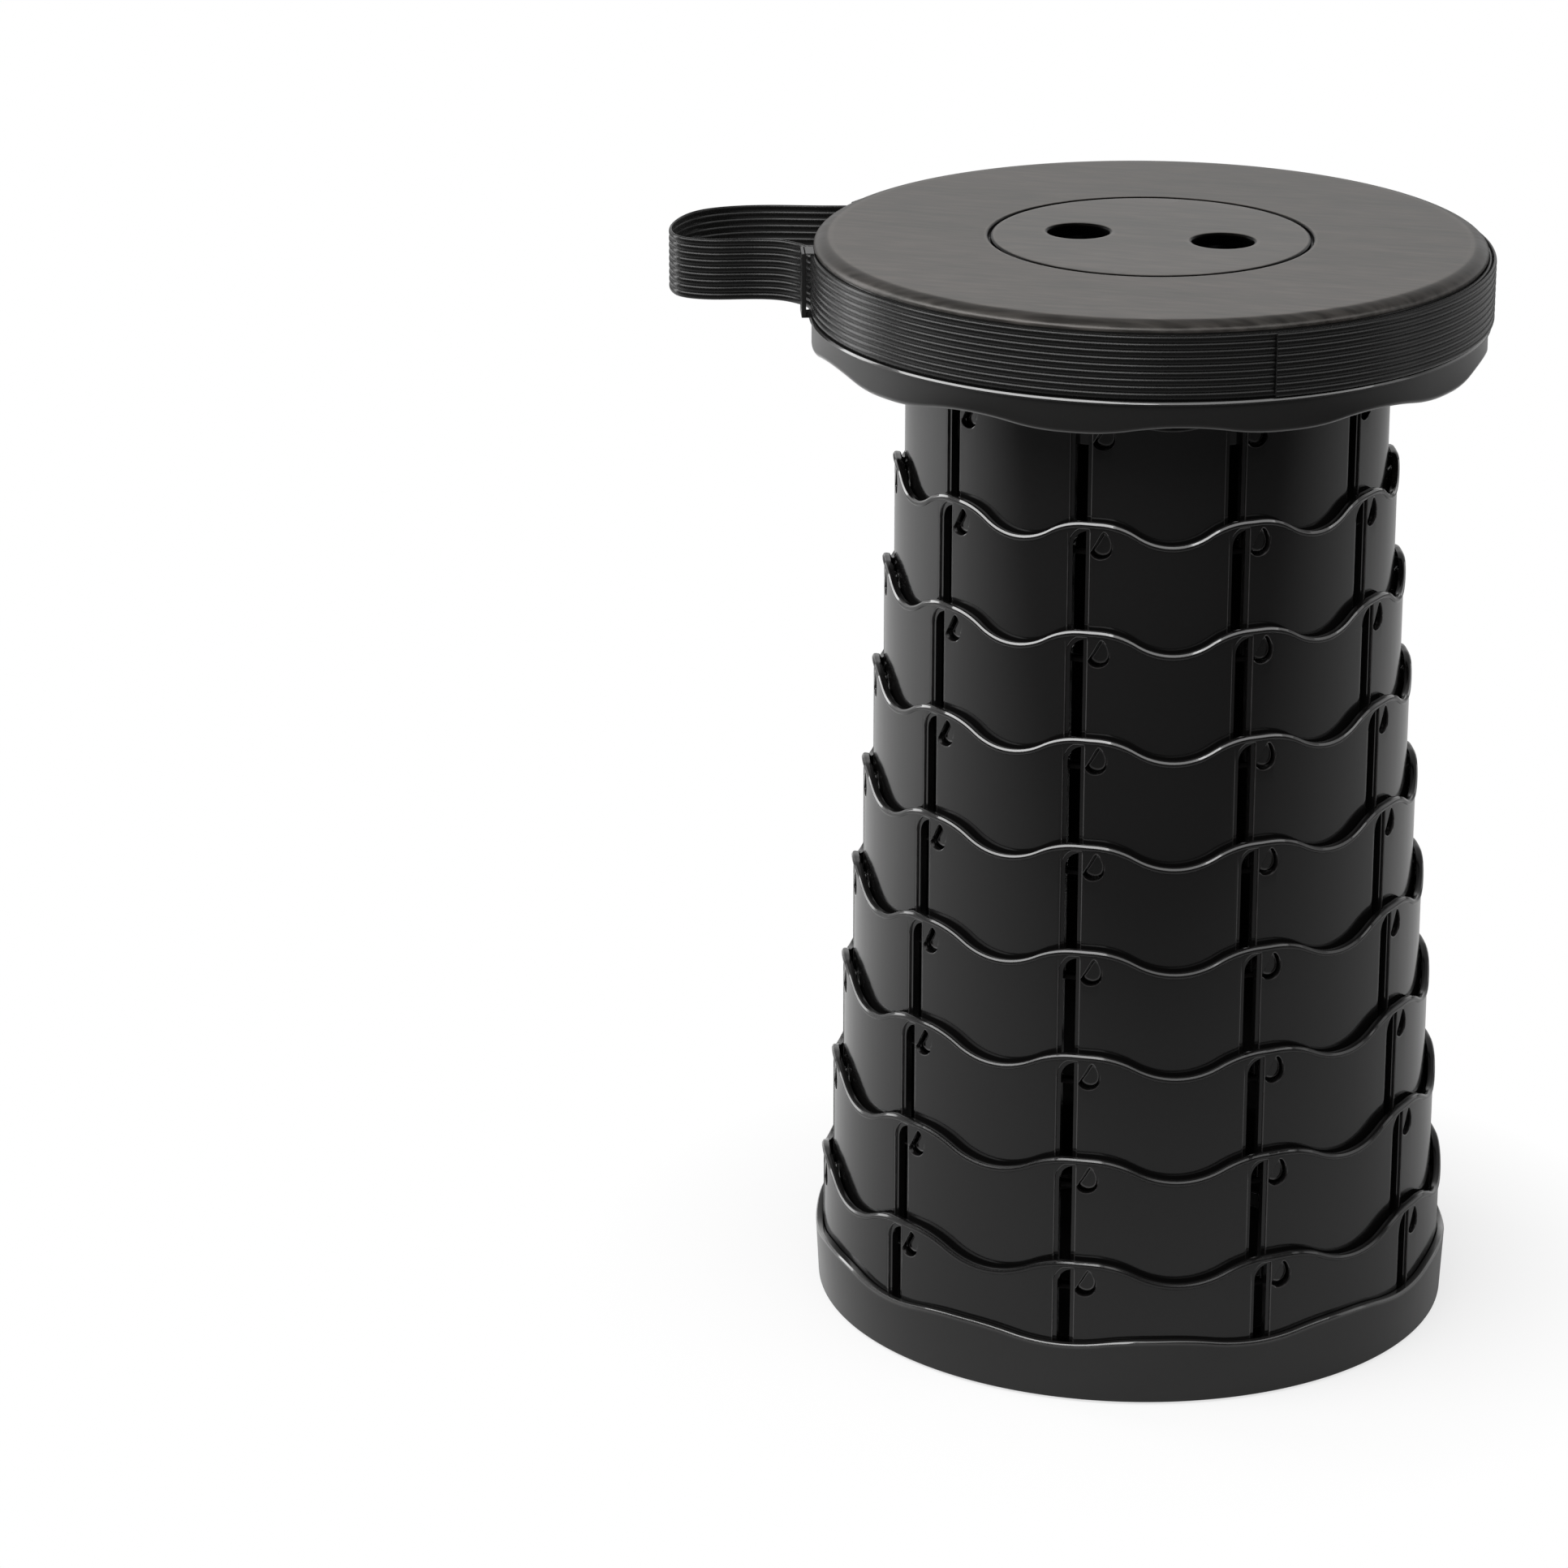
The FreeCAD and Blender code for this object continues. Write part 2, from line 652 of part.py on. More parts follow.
def make_foot_pads():
    """Rubber pads under the base."""
    pads = []
    for i in range(count("pad_count")):
        pad = doc.addObject("Part::Cylinder", "foot_pad_%d" % (i + 1))
        bind(pad, Radius=dim("pad_radius"), Height=dim("pad_height"))
        turn = "%d * 360 / Dimensions.pad_count" % i
        pad.setExpression("Placement.Base.x", "Dimensions.pad_circle * cos(%s)" % turn)
        pad.setExpression("Placement.Base.y", "Dimensions.pad_circle * sin(%s)" % turn)
        pads.append(pad)
    made = doc.addObject("Part::Compound", "foot_pads_group")
    made.Label = "foot_pads"
    made.Links = pads
    return made


def make_seat_screws():
    """Screws that hold the sleeve's flange to the plate."""
    screws = []
    flange = float(dim("sleeve_flange_thickness"))
    for i in range(count("screw_count")):
        shank = Part.makeCylinder(float(dim("screw_radius")), flange + float(dim("screw_grip")),
                                  Vector(float(screw_circle()), 0, -flange))
        head = Part.makeCylinder(float(dim("screw_head_radius")), float(dim("screw_head_height")),
                                 Vector(float(screw_circle()), 0, -flange), Vector(0, 0, -1))
        screw = shank.fuse(head)
        screw.rotate(Vector(0, 0, 0), Vector(0, 0, 1), i * 360 / count("screw_count"))
        screws.append(screw)
    made = shaped("seat_screws", Part.makeCompound(screws))
    lift(made, plate_underside)
    return made


# Where the webbing lies.
belt_inner = dim("rim_radius") + dim("running_gap")
belt_outer = belt_inner + dim("strap_thickness")
tail_inner = belt_outer + dim("running_gap")
tail_outer = tail_inner + dim("strap_thickness")
strap_foot = plate_underside - (dim("channel_height") + dim("strap_width")) / 2


def make_strap_belt():
    """Webbing round the channel, from one guide to the other."""
    made = tube("strap_belt", belt_outer, belt_inner, dim("strap_width"),
                360 - 2 * dim("guide_angle"))
    turned(made, 180 + float(dim("guide_angle")))
    lift(made, strap_foot)
    return made


def make_strap_tail():
    """The webbing's free end, which lies over the belt."""
    made = tube("strap_tail", tail_outer, tail_inner, dim("strap_width"), dim("tail_sweep"))
    turned(made, float(dim("tail_start") - dim("tail_sweep")))
    lift(made, strap_foot)
    return made


# The handle's middle line: shares of its reach past the channel and of half
# the distance between its ends, from the back guide round to the front one.
HANDLE_SHARES = [
    (-0.045, 0.935), (0.01, 0.9), (0.19, 0.82), (0.42, 0.74), (0.72, 0.57), (0.93, 0.28),
    (1.0, -0.15), (0.96, -0.6), (0.84, -0.86), (0.68, -0.9), (0.4, -0.77), (0.2, -0.72),
    (0.06, -0.8), (-0.02, -0.9), (-0.055, -0.965),
]


def handle_line():
    """Points of the handle's middle line, from guide to guide."""
    middle = float(belt_inner + dim("strap_thickness") / 2)
    points = []
    for share in (0.99, 0.95, 0.91):
        turn = math.radians(float(dim("guide_angle")) * share)
        points.append(Vector(-middle * math.cos(turn), middle * math.sin(turn), 0))
    mirrored = [Vector(point.x, -point.y, 0) for point in reversed(points)]
    for out, across in HANDLE_SHARES:
        points.append(Vector(-float(dim("rim_radius")) - out * float(dim("handle_reach")),
                             across * float(dim("handle_spread")), 0))
    return points + mirrored


def smooth_curve(points):
    """A smooth curve through points."""
    curve = Part.BSplineCurve()
    curve.interpolate(Points=points)
    return curve


def arc_chain(points):
    """Arcs in a row, each through three points that follow each other."""
    return [Part.Arc(*points[i:i + 3]).toShape() for i in range(0, len(points) - 1, 2)]


def make_strap_handle():
    """The loop of webbing that stands out as the handle."""
    points = handle_line()
    middle = smooth_curve(points)
    steps = 2 * len(points)
    sides = {-1: [], 1: []}
    for i in range(steps + 1):
        at = middle.FirstParameter + (middle.LastParameter - middle.FirstParameter) * i / steps
        tangent = middle.tangent(at)[0]
        normal = Vector(-tangent.y, tangent.x, 0).normalize()
        for side, line in sides.items():
            line.append(middle.value(at) + normal * (side * float(dim("strap_thickness")) / 2))
    left = sides[1]
    right = sides[-1]
    outline = Part.Wire(
        arc_chain(left) + [Part.LineSegment(left[-1], right[-1]).toShape()]
        + arc_chain(right[::-1]) + [Part.LineSegment(right[0], left[0]).toShape()])
    made = shaped("strap_handle",
                  Part.Face(outline).extrude(Vector(0, 0, float(dim("strap_width")))))
    lift(made, strap_foot)
    return made


def make_strap_guides():
    """Two guides with two windows each, where the webbing leaves the channel."""
    width = dim("guide_width")
    depth = dim("guide_thickness")
    height = dim("channel_height")
    bar = dim("guide_bar")
    face = tail_outer + dim("running_gap")
    window_height = (height - 3 * bar) / 2
    guides = []
    for name, angle in (("back_guide", 180 - float(dim("guide_angle"))),
                        ("front_guide", 180 + float(dim("guide_angle")))):
        plate = box(name + "_plate", face, -width / 2, 0, depth, width, height)
        windows = [
            box(name + "_window_%d" % (i + 1), face - dim("overrun"), bar - width / 2,
                bar + i * (window_height + bar), depth + 2 * dim("overrun"),
                width - 2 * bar, window_height)
            for i in range(2)]
        cutter = doc.addObject("Part::MultiFuse", name + "_windows")
        cutter.Shapes = windows
        open_plate = doc.addObject("Part::Cut", name + "_open")
        open_plate.Base = plate
        open_plate.Tool = cutter
        near = dim("rim_radius") + dim("running_gap")
        reach = face - near + depth / 2
        feet = [
            box(name + "_foot_%d" % (i + 1), near, -width / 2,
                i * (height - dim("guide_foot")), reach, width, dim("guide_foot"))
            for i in range(2)]
        guide = doc.addObject("Part::MultiFuse", name)
        guide.Shapes = [open_plate] + feet
        turned(guide, angle)
        guides.append(guide)
    made = doc.addObject("Part::Compound", "strap_guides_group")
    made.Label = "strap_guides"
    made.Links = guides
    lift(made, plate_underside - height)
    return made


def box(name, x, y, z, length, width, height):
    """A box whose corner and sides are sheet sizes."""
    made = doc.addObject("Part::Box", name)
    bind(made, Length=length, Width=width, Height=height)
    for axis, value in (("x", x), ("y", y), ("z", z)):
        made.setExpression("Placement.Base.%s" % axis, size_of(value).text)
    return made


# The buckle in its own frame: x along the webbing, y out of the stool, z up.
buckle_back = belt_outer + dim("running_gap")
# The cam has eight flats; shares of its radius to their ends, across and out.
CAM_SHARE = math.tan(math.pi / 8)
CAM_REACH = 1 / math.cos(math.pi / 8)
pin_y = buckle_back + dim("buckle_sheet") + dim("cam_radius") * CAM_REACH + dim("running_gap")
buckle_height = dim("channel_height") - 2 * dim("running_gap")
lever_height = buckle_height - 2 * dim("buckle_sheet") - 2 * dim("cheek_clearance")


def place_buckle(thing, below):
    """Stand a piece of the buckle on the webbing in the buckle's direction."""
    turned(thing, float(dim("buckle_angle")) - 90)
    lift(thing, plate_underside - dim("channel_height") / 2 - below)


def make_buckle_frame():
    """A folded frame: back plate and two cheeks with pin holes."""
    piece = body("buckle_frame")
    half = dim("buckle_length") / 2
    sheet_size = dim("buckle_sheet")
    drawing = sketch(piece, "XY_Plane", "buckle_cheek_outline")
    front = buckle_back + dim("cheek_depth")
    polygon(drawing, [
        (-half, buckle_back), (half, buckle_back), (half, buckle_back + 2 * sheet_size),
        (half / 2, front), (-half / 2, front), (-half, buckle_back + 2 * sheet_size)])
    circle(drawing, 0, pin_y, dim("pin_radius") + dim("pin_gap"))
    extrude(piece, "buckle_block", drawing, buckle_height)
    inside = sketch(piece, "XZ_Plane", "buckle_inside_outline")
    polygon(inside, [
        (-dim("buckle_length"), sheet_size), (dim("buckle_length"), sheet_size),
        (dim("buckle_length"), buckle_height - sheet_size),
        (-dim("buckle_length"), buckle_height - sheet_size)])
    inside.setExpression("AttachmentOffset.Base.z", (-(buckle_back + sheet_size)).text)
    doc.recompute()
    cut = piece.newObject("PartDesign::Pocket", "buckle_inside")
    cut.Profile = inside
    cut.Type = "ThroughAll"
    cut.Reversed = False
    doc.recompute()
    place_buckle(piece, buckle_height / 2)
    return piece


def make_buckle_lever():
    """The lever: a cam round the pin and a plate that ends in a thumb tab."""
    piece = body("buckle_lever")
    length = dim("lever_length")
    cam = dim("cam_radius")
    side = cam * CAM_SHARE
    back = pin_y - side
    front = back + dim("lever_thickness")
    drawing = sketch(piece, "XY_Plane", "lever_outline")
    polygon(drawing, [
        (-cam, back), (-side, pin_y - cam), (side, pin_y - cam),
        (cam, back), (length - dim("lever_tab"), back), (length, back + dim("lever_tab")),
        (length - dim("lever_thickness") / 2, front + dim("lever_tab")),
        (length - dim("lever_tab") - dim("lever_thickness") / 2, front + dim("lever_thickness") / 2),
        (cam, pin_y + side), (side, pin_y + cam), (-side, pin_y + cam),
        (-cam, pin_y + side)])
    circle(drawing, 0, pin_y, dim("pin_radius") + dim("pin_gap"))
    extrude(piece, "lever_bar", drawing, lever_height)
    place_buckle(piece, lever_height / 2)
    return piece


def make_buckle_pin():
    """The pin that the lever turns on."""
    made = doc.addObject("Part::Cylinder", "buckle_pin")
    bind(made, Radius=dim("pin_radius"), Height=buckle_height)
    direction = "Dimensions.buckle_angle"
    made.setExpression("Placement.Base.x", "%s * cos(%s)" % (pin_y.text, direction))
    made.setExpression("Placement.Base.y", "%s * sin(%s)" % (pin_y.text, direction))
    lift(made, plate_underside - dim("channel_height") / 2 - buckle_height / 2)
    return made


def main():
    """Build every piece, check it and write one file for each."""
    opening_tool = make_opening_tool()
    pieces = [make_seat_plate(), make_centre_cap(), make_seat_rim(), make_sleeve()]
    pieces += [make_ring(number, opening_tool) for number in range(1, rings + 1)]
    pieces += [make_base_cup(), make_foot_pads(), make_seat_screws()]
    pieces += [make_strap_belt(), make_strap_handle(), make_strap_tail(), make_strap_guides()]
    pieces += [make_buckle_frame(), make_buckle_lever(), make_buckle_pin()]
    doc.recompute()
    for thing in doc.Objects:
        if "Invalid" in thing.State or "Error" in thing.State:
            raise RuntimeError("%s is %s" % (thing.Label, thing.State))
    for piece in pieces:
        if piece.Shape.isNull() or not piece.Shape.isValid():
            raise RuntimeError("%s has no valid shape" % piece.Label)
    os.makedirs("parts", exist_ok=True)
    for piece in pieces:
        piece.Shape.exportStep("parts/%s.step" % piece.Label)
        print("%-14s solids %2d  volume %9.0f mm3  faces %4d  z %.1f to %.1f" % (
            piece.Label, len(piece.Shape.Solids), piece.Shape.Volume, len(piece.Shape.Faces),
            piece.Shape.BoundBox.ZMin, piece.Shape.BoundBox.ZMax))


main()
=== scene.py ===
"""A round telescopic folding stool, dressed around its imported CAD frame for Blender 4.5.

Nine moulded rings with wavy beads rise out of a base cup and carry a brushed
seat plate on a rim with a channel for a ribbed carrying strap. Surfaces are
worked out in millimetres and put into the meshes in metres.
"""

import math

import bpy
import numpy as np
from bpy.props import FloatProperty, FloatVectorProperty, IntProperty, PointerProperty
from mathutils import Matrix, Vector


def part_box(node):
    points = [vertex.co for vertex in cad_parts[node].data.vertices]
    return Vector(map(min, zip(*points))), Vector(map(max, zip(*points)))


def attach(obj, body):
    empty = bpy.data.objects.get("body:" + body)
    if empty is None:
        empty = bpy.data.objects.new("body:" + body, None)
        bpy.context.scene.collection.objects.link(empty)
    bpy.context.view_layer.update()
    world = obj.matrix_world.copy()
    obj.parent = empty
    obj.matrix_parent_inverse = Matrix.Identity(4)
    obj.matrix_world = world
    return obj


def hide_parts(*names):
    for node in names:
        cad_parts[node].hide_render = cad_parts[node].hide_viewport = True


bl_info = {
    "name": "Folding stool",
    "version": (1, 0, 0),
    "blender": (4, 5, 0),
    "location": "View3D > Sidebar > Stool",
    "description": "Builds the visible pieces, finishes and studio of a telescopic folding stool",
    "category": "Object",
}

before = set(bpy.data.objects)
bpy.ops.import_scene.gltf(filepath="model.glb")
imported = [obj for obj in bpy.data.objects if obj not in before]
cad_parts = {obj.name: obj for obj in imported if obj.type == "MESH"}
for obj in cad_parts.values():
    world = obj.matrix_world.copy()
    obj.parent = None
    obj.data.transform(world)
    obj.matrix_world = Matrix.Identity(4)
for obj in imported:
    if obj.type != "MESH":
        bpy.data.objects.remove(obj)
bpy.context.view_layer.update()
MM = 0.001
RING_COUNT = 9
WAVES = 10
PERIOD = 2 * math.pi / WAVES


def heights_mm(node):
    """Lowest and highest height of a CAD node in millimetres."""
    return tuple(float(corner[2]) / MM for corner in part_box(node))


SEAT_TOP = heights_mm("seat_plate")[1]
SKIRT_LOW, RIM_TOP = heights_mm("seat_rim")
STRAP_LOW, STRAP_HIGH = heights_mm("strap_belt")


def length(name, millimetres, description):
    """A length property whose default is given in millimetres."""
    return FloatProperty(name=name, description=description, default=millimetres * MM, min=0.0,
                         unit="LENGTH", subtype="DISTANCE", precision=5)


def paint(name, description, colour):
    """A colour property."""
    return FloatVectorProperty(name=name, description=description, default=colour, size=3,
                               min=0.0, max=1.0, subtype="COLOR")


class StoolSizes(bpy.types.PropertyGroup):
    """Sizes of the moulded and woven forms."""

    ring_one_radius: length("Top ring radius", 90.3, "Outer radius of the top ring")
    ring_pitch: length("Ring pitch", 3.71, "Growth of the radius from ring to ring")
    ring_wall: length("Ring wall", 2.2, "Wall of a ring")
    wave_height: length("Wave height", 8.0, "Crest to trough of a ring's edge")
    bead_height: length("Bead height", 2.3, "Height of the rolled lip on a ring")
    bead_depth: length("Bead depth", 0.7, "How far the rolled lip stands out")
    ring_turn: FloatProperty(name="Ring turn",
                             description="How far a ring stands turned past the one inside it",
                             default=math.radians(0.42), subtype="ANGLE", unit="ROTATION")
    slot_width: length("Slot width", 4.8, "Width of a slot at its narrow inner end")
    slot_mouth: length("Slot mouth", 7.9, "Width of a slot at the ring's outer surface")
    ledge_depth: length("Ledge depth", 0.8, "Outer surface to the ledge inside a slot's mouth")
    slot_depth: length("Slot depth", 3.6, "Outer surface to the inner end of a slot's lips")
    slot_sill: length("Slot sill", 1.8, "Rim left under a slot")
    slot_shoulder: length("Slot shoulder", 9.8, "Crest down to where a slot bends over")
    slot_bend: length("Slot bend", 6.25, "Radius of the bend at the top of a slot's inner end")
    mouth_bend: length("Mouth bend", 8.35, "Radius of the bend at the top of a slot's mouth")
    lug_height: length("Lug height", 1.2, "How far a lock lug stands out")
    plate_radius: length("Seat radius", 124.6, "Radius of the seat plate")
    plate_edge: length("Soft edge", 6.6, "Width of the seat plate's soft edge")
    plate_drop: length("Edge drop", 3.4, "How far the soft edge falls")
    cap_radius: length("Cap radius", 59.5, "Radius of the centre cap")
    finger_radius: length("Finger hole radius", 11.6, "Radius of a finger hole")
    finger_spacing: length("Finger hole spacing", 54.6, "Distance between the finger holes")
    strap_thickness: length("Webbing thickness", 1.3, "Thickness of the webbing")
    strap_ribs: IntProperty(name="Webbing ribs", description="Ribs across the webbing",
                            default=9, min=1, max=30)
    skirt_wave: length("Skirt wave", 3.0, "Height of the wave where skirt and base meet")


class StoolColours(bpy.types.PropertyGroup):
    """Colours of the finishes, scene linear."""

    ring: paint("Rings", "Glossy black of the rings", (0.0045, 0.0043, 0.0043))
    seat: paint("Seat", "Brushed dark grey of the seat", (0.071, 0.0645, 0.0585))
    rim: paint("Rim and base", "Satin grey of the rim and base", (0.010, 0.0098, 0.0096))
    webbing: paint("Webbing", "Black of the webbing", (0.0035, 0.0034, 0.0033))
    rubber: paint("Rubber", "Black of the foot pads", (0.018, 0.018, 0.018))
    lever: paint("Lever", "Grey of the buckle's lever", (0.05, 0.05, 0.05))
    steel: paint("Steel", "Plain steel of pin and screws", (0.55, 0.55, 0.56))


class StoolStudio(bpy.types.PropertyGroup):
    """Levels of the studio light."""

    key_power: FloatProperty(name="Key light", description="Power of the long light at the left",
                             default=36.0, min=0.0, unit="POWER")
    side_power: FloatProperty(name="Side lights", description="Power of the left side light",
                              default=12.0, min=0.0, unit="POWER")
    sky: FloatProperty(name="Sky", description="Strength of the even light all round",
                       default=0.12, min=0.0, max=2.0)


# --- forms -----------------------------------------------------------------

# Edges that turn by more than this many degrees are shown sharp.
SHARP_ANGLE = 32.0


def soften(corners, cuts, steps=3):
    """Round the corners of a closed outline.

    Each corner gives way to a quadratic curve that starts its cut before the
    corner, is drawn towards it and ends its cut beyond it.
    """
    corners = np.asarray(corners, float)
    cuts = np.broadcast_to(np.asarray(cuts, float), len(corners))[:, None]
    before = np.roll(corners, 1, axis=0) - corners
    after = np.roll(corners, -1, axis=0) - corners
    start = corners + before / np.linalg.norm(before, axis=1)[:, None] * cuts
    end = corners + after / np.linalg.norm(after, axis=1)[:, None] * cuts
    t = np.linspace(0, 1, steps + 1)[None, :, None]
    curve = ((1 - t) ** 2 * start[:, None] + 2 * t * (1 - t) * corners[:, None]
             + t ** 2 * end[:, None])
    return curve.reshape(-1, 2)


def closed_curve(points, count):
    """Points on a smooth closed curve through the given ones (uniform cubic blend)."""
    points = np.asarray(points, float)
    at = np.linspace(0, len(points), count, endpoint=False)
    index = at.astype(int)
    t = (at - index)[:, None]
    a, b, c, d = (points[(index + shift) % len(points)] for shift in (-1, 0, 1, 2))
    return b + 0.5 * t * (c - a + t * (2 * a - 5 * b + 4 * c - d + t * (3 * (b - c) + d - a)))


def open_curve(points, count):
    """Points at even steps on the natural cubic spline through the given ones."""
    points = np.asarray(points, float)
    chord = np.r_[0, np.cumsum(np.linalg.norm(np.diff(points, axis=0), axis=1))]
    step = np.diff(chord)
    size = len(points)
    matrix = np.eye(size)
    right = np.zeros_like(points)
    inner = np.arange(1, size - 1)
    matrix[inner, inner] = 2 * (step[:-1] + step[1:])
    matrix[inner, inner - 1] = step[:-1]
    matrix[inner, inner + 1] = step[1:]
    slope = np.diff(points, axis=0) / step[:, None]
    right[1:-1] = 6 * np.diff(slope, axis=0)
    bend = np.linalg.solve(matrix, right)
    fine = np.linspace(0, chord[-1], 40 * size)
    span = np.clip(np.searchsorted(chord, fine, side="right") - 1, 0, size - 2)
    h = step[span][:, None]
    a = (chord[span + 1][:, None] - fine[:, None]) / h
    b = 1 - a
    line = (a * points[span] + b * points[span + 1]
            + ((a ** 3 - a) * bend[span] + (b ** 3 - b) * bend[span + 1]) * h ** 2 / 6)
    run = np.r_[0, np.cumsum(np.linalg.norm(np.diff(line, axis=0), axis=1))]
    even = np.linspace(0, run[-1], count)
    return np.stack([np.interp(even, run, line[:, axis]) for axis in range(line.shape[1])], axis=1)


def grid_quads(rows, columns, rows_closed, columns_closed):
    """Quads of a grid of points that run row by row, as an array [row, column, 4]."""
    r = np.arange(rows if rows_closed else rows - 1)[:, None]
    c = np.arange(columns if columns_closed else columns - 1)[None, :]
    up = (r + 1) % rows
    right = (c + 1) % columns
    return np.stack(np.broadcast_arrays(r * columns + c, r * columns + right,
                                        up * columns + right, up * columns + c), axis=-1)


def side_walls(keep, points, partner):
    """Quads that line the openings of a sheet.

    keep says which cells of the sheet stay; points and partner are the
    indices of the grid's points on the sheet and on the sheet behind it. A
    wall stands on each line between a cell that stays and one that doesn't,
    from one to the other of the cell's points (row up, column along).
    """
    columns = keep.shape[1]
    right = np.roll(keep, -1, axis=1)
    borders = ((keep & ~right, (1, 1), (0, 1)), (~keep & right, (0, 1), (1, 1)),
               (keep[:-1] & ~keep[1:], (1, 0), (1, 1)), (~keep[:-1] & keep[1:], (1, 1), (1, 0)))
    walls = []
    for chosen, start, end in borders:
        r, c = np.nonzero(chosen)
        first, second = ((r + up, (c + along) % columns) for up, along in (start, end))
        walls.append(np.stack([points[first], points[second], partner[second], partner[first]], 1))
    return np.concatenate(walls)


def rolled(radius, angle, height):
    """Points at a radius, an angle in radians and a height."""
    return np.stack([radius * np.cos(angle), radius * np.sin(angle),
                     np.broadcast_to(height, radius.shape)], axis=-1)


def turned_shell(profile, columns, wave=None):
    """A closed profile of (radius, height, share of the wave) turned about the axis.

    Height at an angle is the profile's height plus its share of wave(angle).
    """
    profile = np.asarray(profile, float)
    angle = np.linspace(0, 2 * math.pi, columns, endpoint=False)[None, :]
    rise = profile[:, 2:3] * wave(angle) if wave else 0 * angle
    radius = profile[:, 0:1] + 0 * angle
    points = rolled(radius, angle + 0 * radius, profile[:, 1:2] + rise)
    quads = grid_quads(len(profile), columns, True, True)
    return points.reshape(-1, 3), quads.reshape(-1, 4)


def moulded_shell(corners, steps, columns, wave=None):
    """A softened closed profile turned about the axis, with its painted highlight.

    Each corner is a row (radius, height, cut, share of the wave, painted highlight), where the cut
    is that of soften, and its values hold for all its points.
    """
    corners = np.array(corners, float)
    outline = soften(corners[:, :2], corners[:, 2], steps)
    profile = np.c_[outline, np.repeat(corners[:, 3], steps + 1)]
    points, faces = turned_shell(profile, columns, wave)
    return points, faces, np.repeat(corners[:, 4], (steps + 1) * columns)


def wave_drop(radius, angle, depth, middle):
    """Depth of a wavy edge below its crests, in four equal arcs a period.

    middle is the direction of a hollow. Sideways from it the edge follows an
    arc that is hollow to half its span and a crest's arc beyond.
    """
    offset = (angle - middle + PERIOD / 2) % PERIOD - PERIOD / 2
    across = np.abs(radius * np.sin(offset))
    span = radius * math.sin(PERIOD / 2) * 0.92
    bend = (span ** 2 + depth ** 2) / (4 * depth)
    hollow = depth - bend + np.sqrt(np.maximum(bend ** 2 - across ** 2, 0))
    crest = bend - np.sqrt(np.maximum(bend ** 2 - np.maximum(span - across, 0) ** 2, 0))
    return np.where(across < span / 2, hollow, crest)


def strip(path, section):
    """A closed section carried along a level path, with a face on each end.

    path has the middle line's points (x, y) and section the points (out, up),
    where out is measured to the right of the direction of travel.
    """
    ahead = np.gradient(path, axis=0)
    ahead = ahead / np.linalg.norm(ahead, axis=1)[:, None]
    out = np.stack([ahead[:, 1], -ahead[:, 0]], axis=1)
    flat = path[None, :, :] + section[:, 0, None, None] * out[None, :, :]
    height = np.broadcast_to(section[:, 1, None, None], flat.shape[:2] + (1,))
    points = np.concatenate([flat, height], axis=2).reshape(-1, 3)
    quads = grid_quads(len(section), len(path), True, False).reshape(-1, 4).tolist()
    index = np.arange(len(points)).reshape(len(section), -1)
    return points, quads + [index[:, 0].tolist(), index[::-1, -1].tolist()]


def capped(rows):
    """A closed form: outlines of as many points each, row by row, and a face on both ends."""
    size = len(rows[0])
    points = np.concatenate(rows)
    quads = grid_quads(len(rows), size, False, True).reshape(-1, 4).tolist()
    ends = [list(range(size))[::-1], list(range(len(points) - size, len(points)))]
    return points, quads + ends


def bar(outline, low, high):
    """An upright bar with that outline, anticlockwise from above, and closed ends."""
    outline = np.asarray(outline, float)
    return capped([np.c_[outline, np.full(len(outline), height)] for height in (low, high)])


def turned_about_axis(points, degrees):
    """The points turned about the stool's axis."""
    angle = math.radians(degrees)
    matrix = np.array([[math.cos(angle), -math.sin(angle), 0],
                       [math.sin(angle), math.cos(angle), 0], [0, 0, 1]])
    return points @ matrix.T


def joined(parts):
    """One set of points and faces from several, each part's indices moved along."""
    points = []
    faces = []
    start = 0
    for part_points, part_faces in parts:
        points.append(part_points)
        if isinstance(part_faces, np.ndarray):
            faces += (part_faces + start).tolist()
        else:
            faces += [[start + index for index in face] for face in part_faces]
        start += len(part_points)
    return np.concatenate(points), faces


def add_piece(name, points, faces, body, slot, stands_for=(), material=None, sharp=SHARP_ANGLE,
              uv=None, **marks):
    """Put a worked-out surface into a mesh that rides on a CAD body.

    It has its slot's finish unless another material is given. marks are
    values at the points, which the finishes read by their names.
    """
    mesh = bpy.data.meshes.new(name)
    faces = faces if isinstance(faces, list) else faces.tolist()
    mesh.from_pydata((np.asarray(points, float) * MM).tolist(), [], faces)
    mesh.validate()
    mesh.shade_smooth()
    mesh.set_sharp_from_angle(angle=math.radians(sharp))
    for label, values in marks.items():
        layer = mesh.attributes.new(label, "FLOAT", "POINT")
        layer.data.foreach_set("value", np.asarray(values, np.float32).ravel())
    if uv is not None:
        corners = np.empty(len(mesh.loops), np.int32)
        mesh.loops.foreach_get("vertex_index", corners)
        layer = mesh.uv_layers.new(name="cloth")
        layer.data.foreach_set("uv", np.asarray(uv, np.float32)[corners].ravel())
    mesh.materials.append(material or MATERIALS[slot])
    piece = bpy.data.objects.new(name, mesh)
    bpy.context.scene.collection.objects.link(piece)
    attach(piece, body)
    if stands_for:
        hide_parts(*stands_for)
    return piece


def bevelled(piece, width):
    """Round the sharp edges of a small piece with a bevel of that width."""
    modifier = piece.modifiers.new("soft edges", "BEVEL")
    modifier.width = width * MM
    modifier.segments = 2
    modifier.limit_method = "ANGLE"
    modifier.angle_limit = math.radians(35)


# --- finishes --------------------------------------------------------------

GROUPS = {}
MATERIALS = {}
# A noise lies mostly between these two values.
NOISE_LOW, NOISE_HIGH = 0.3, 0.7
COOL_TINT = (0.7, 0.76, 0.75)
WARM_TINT = (1.3, 1.24, 1.25)


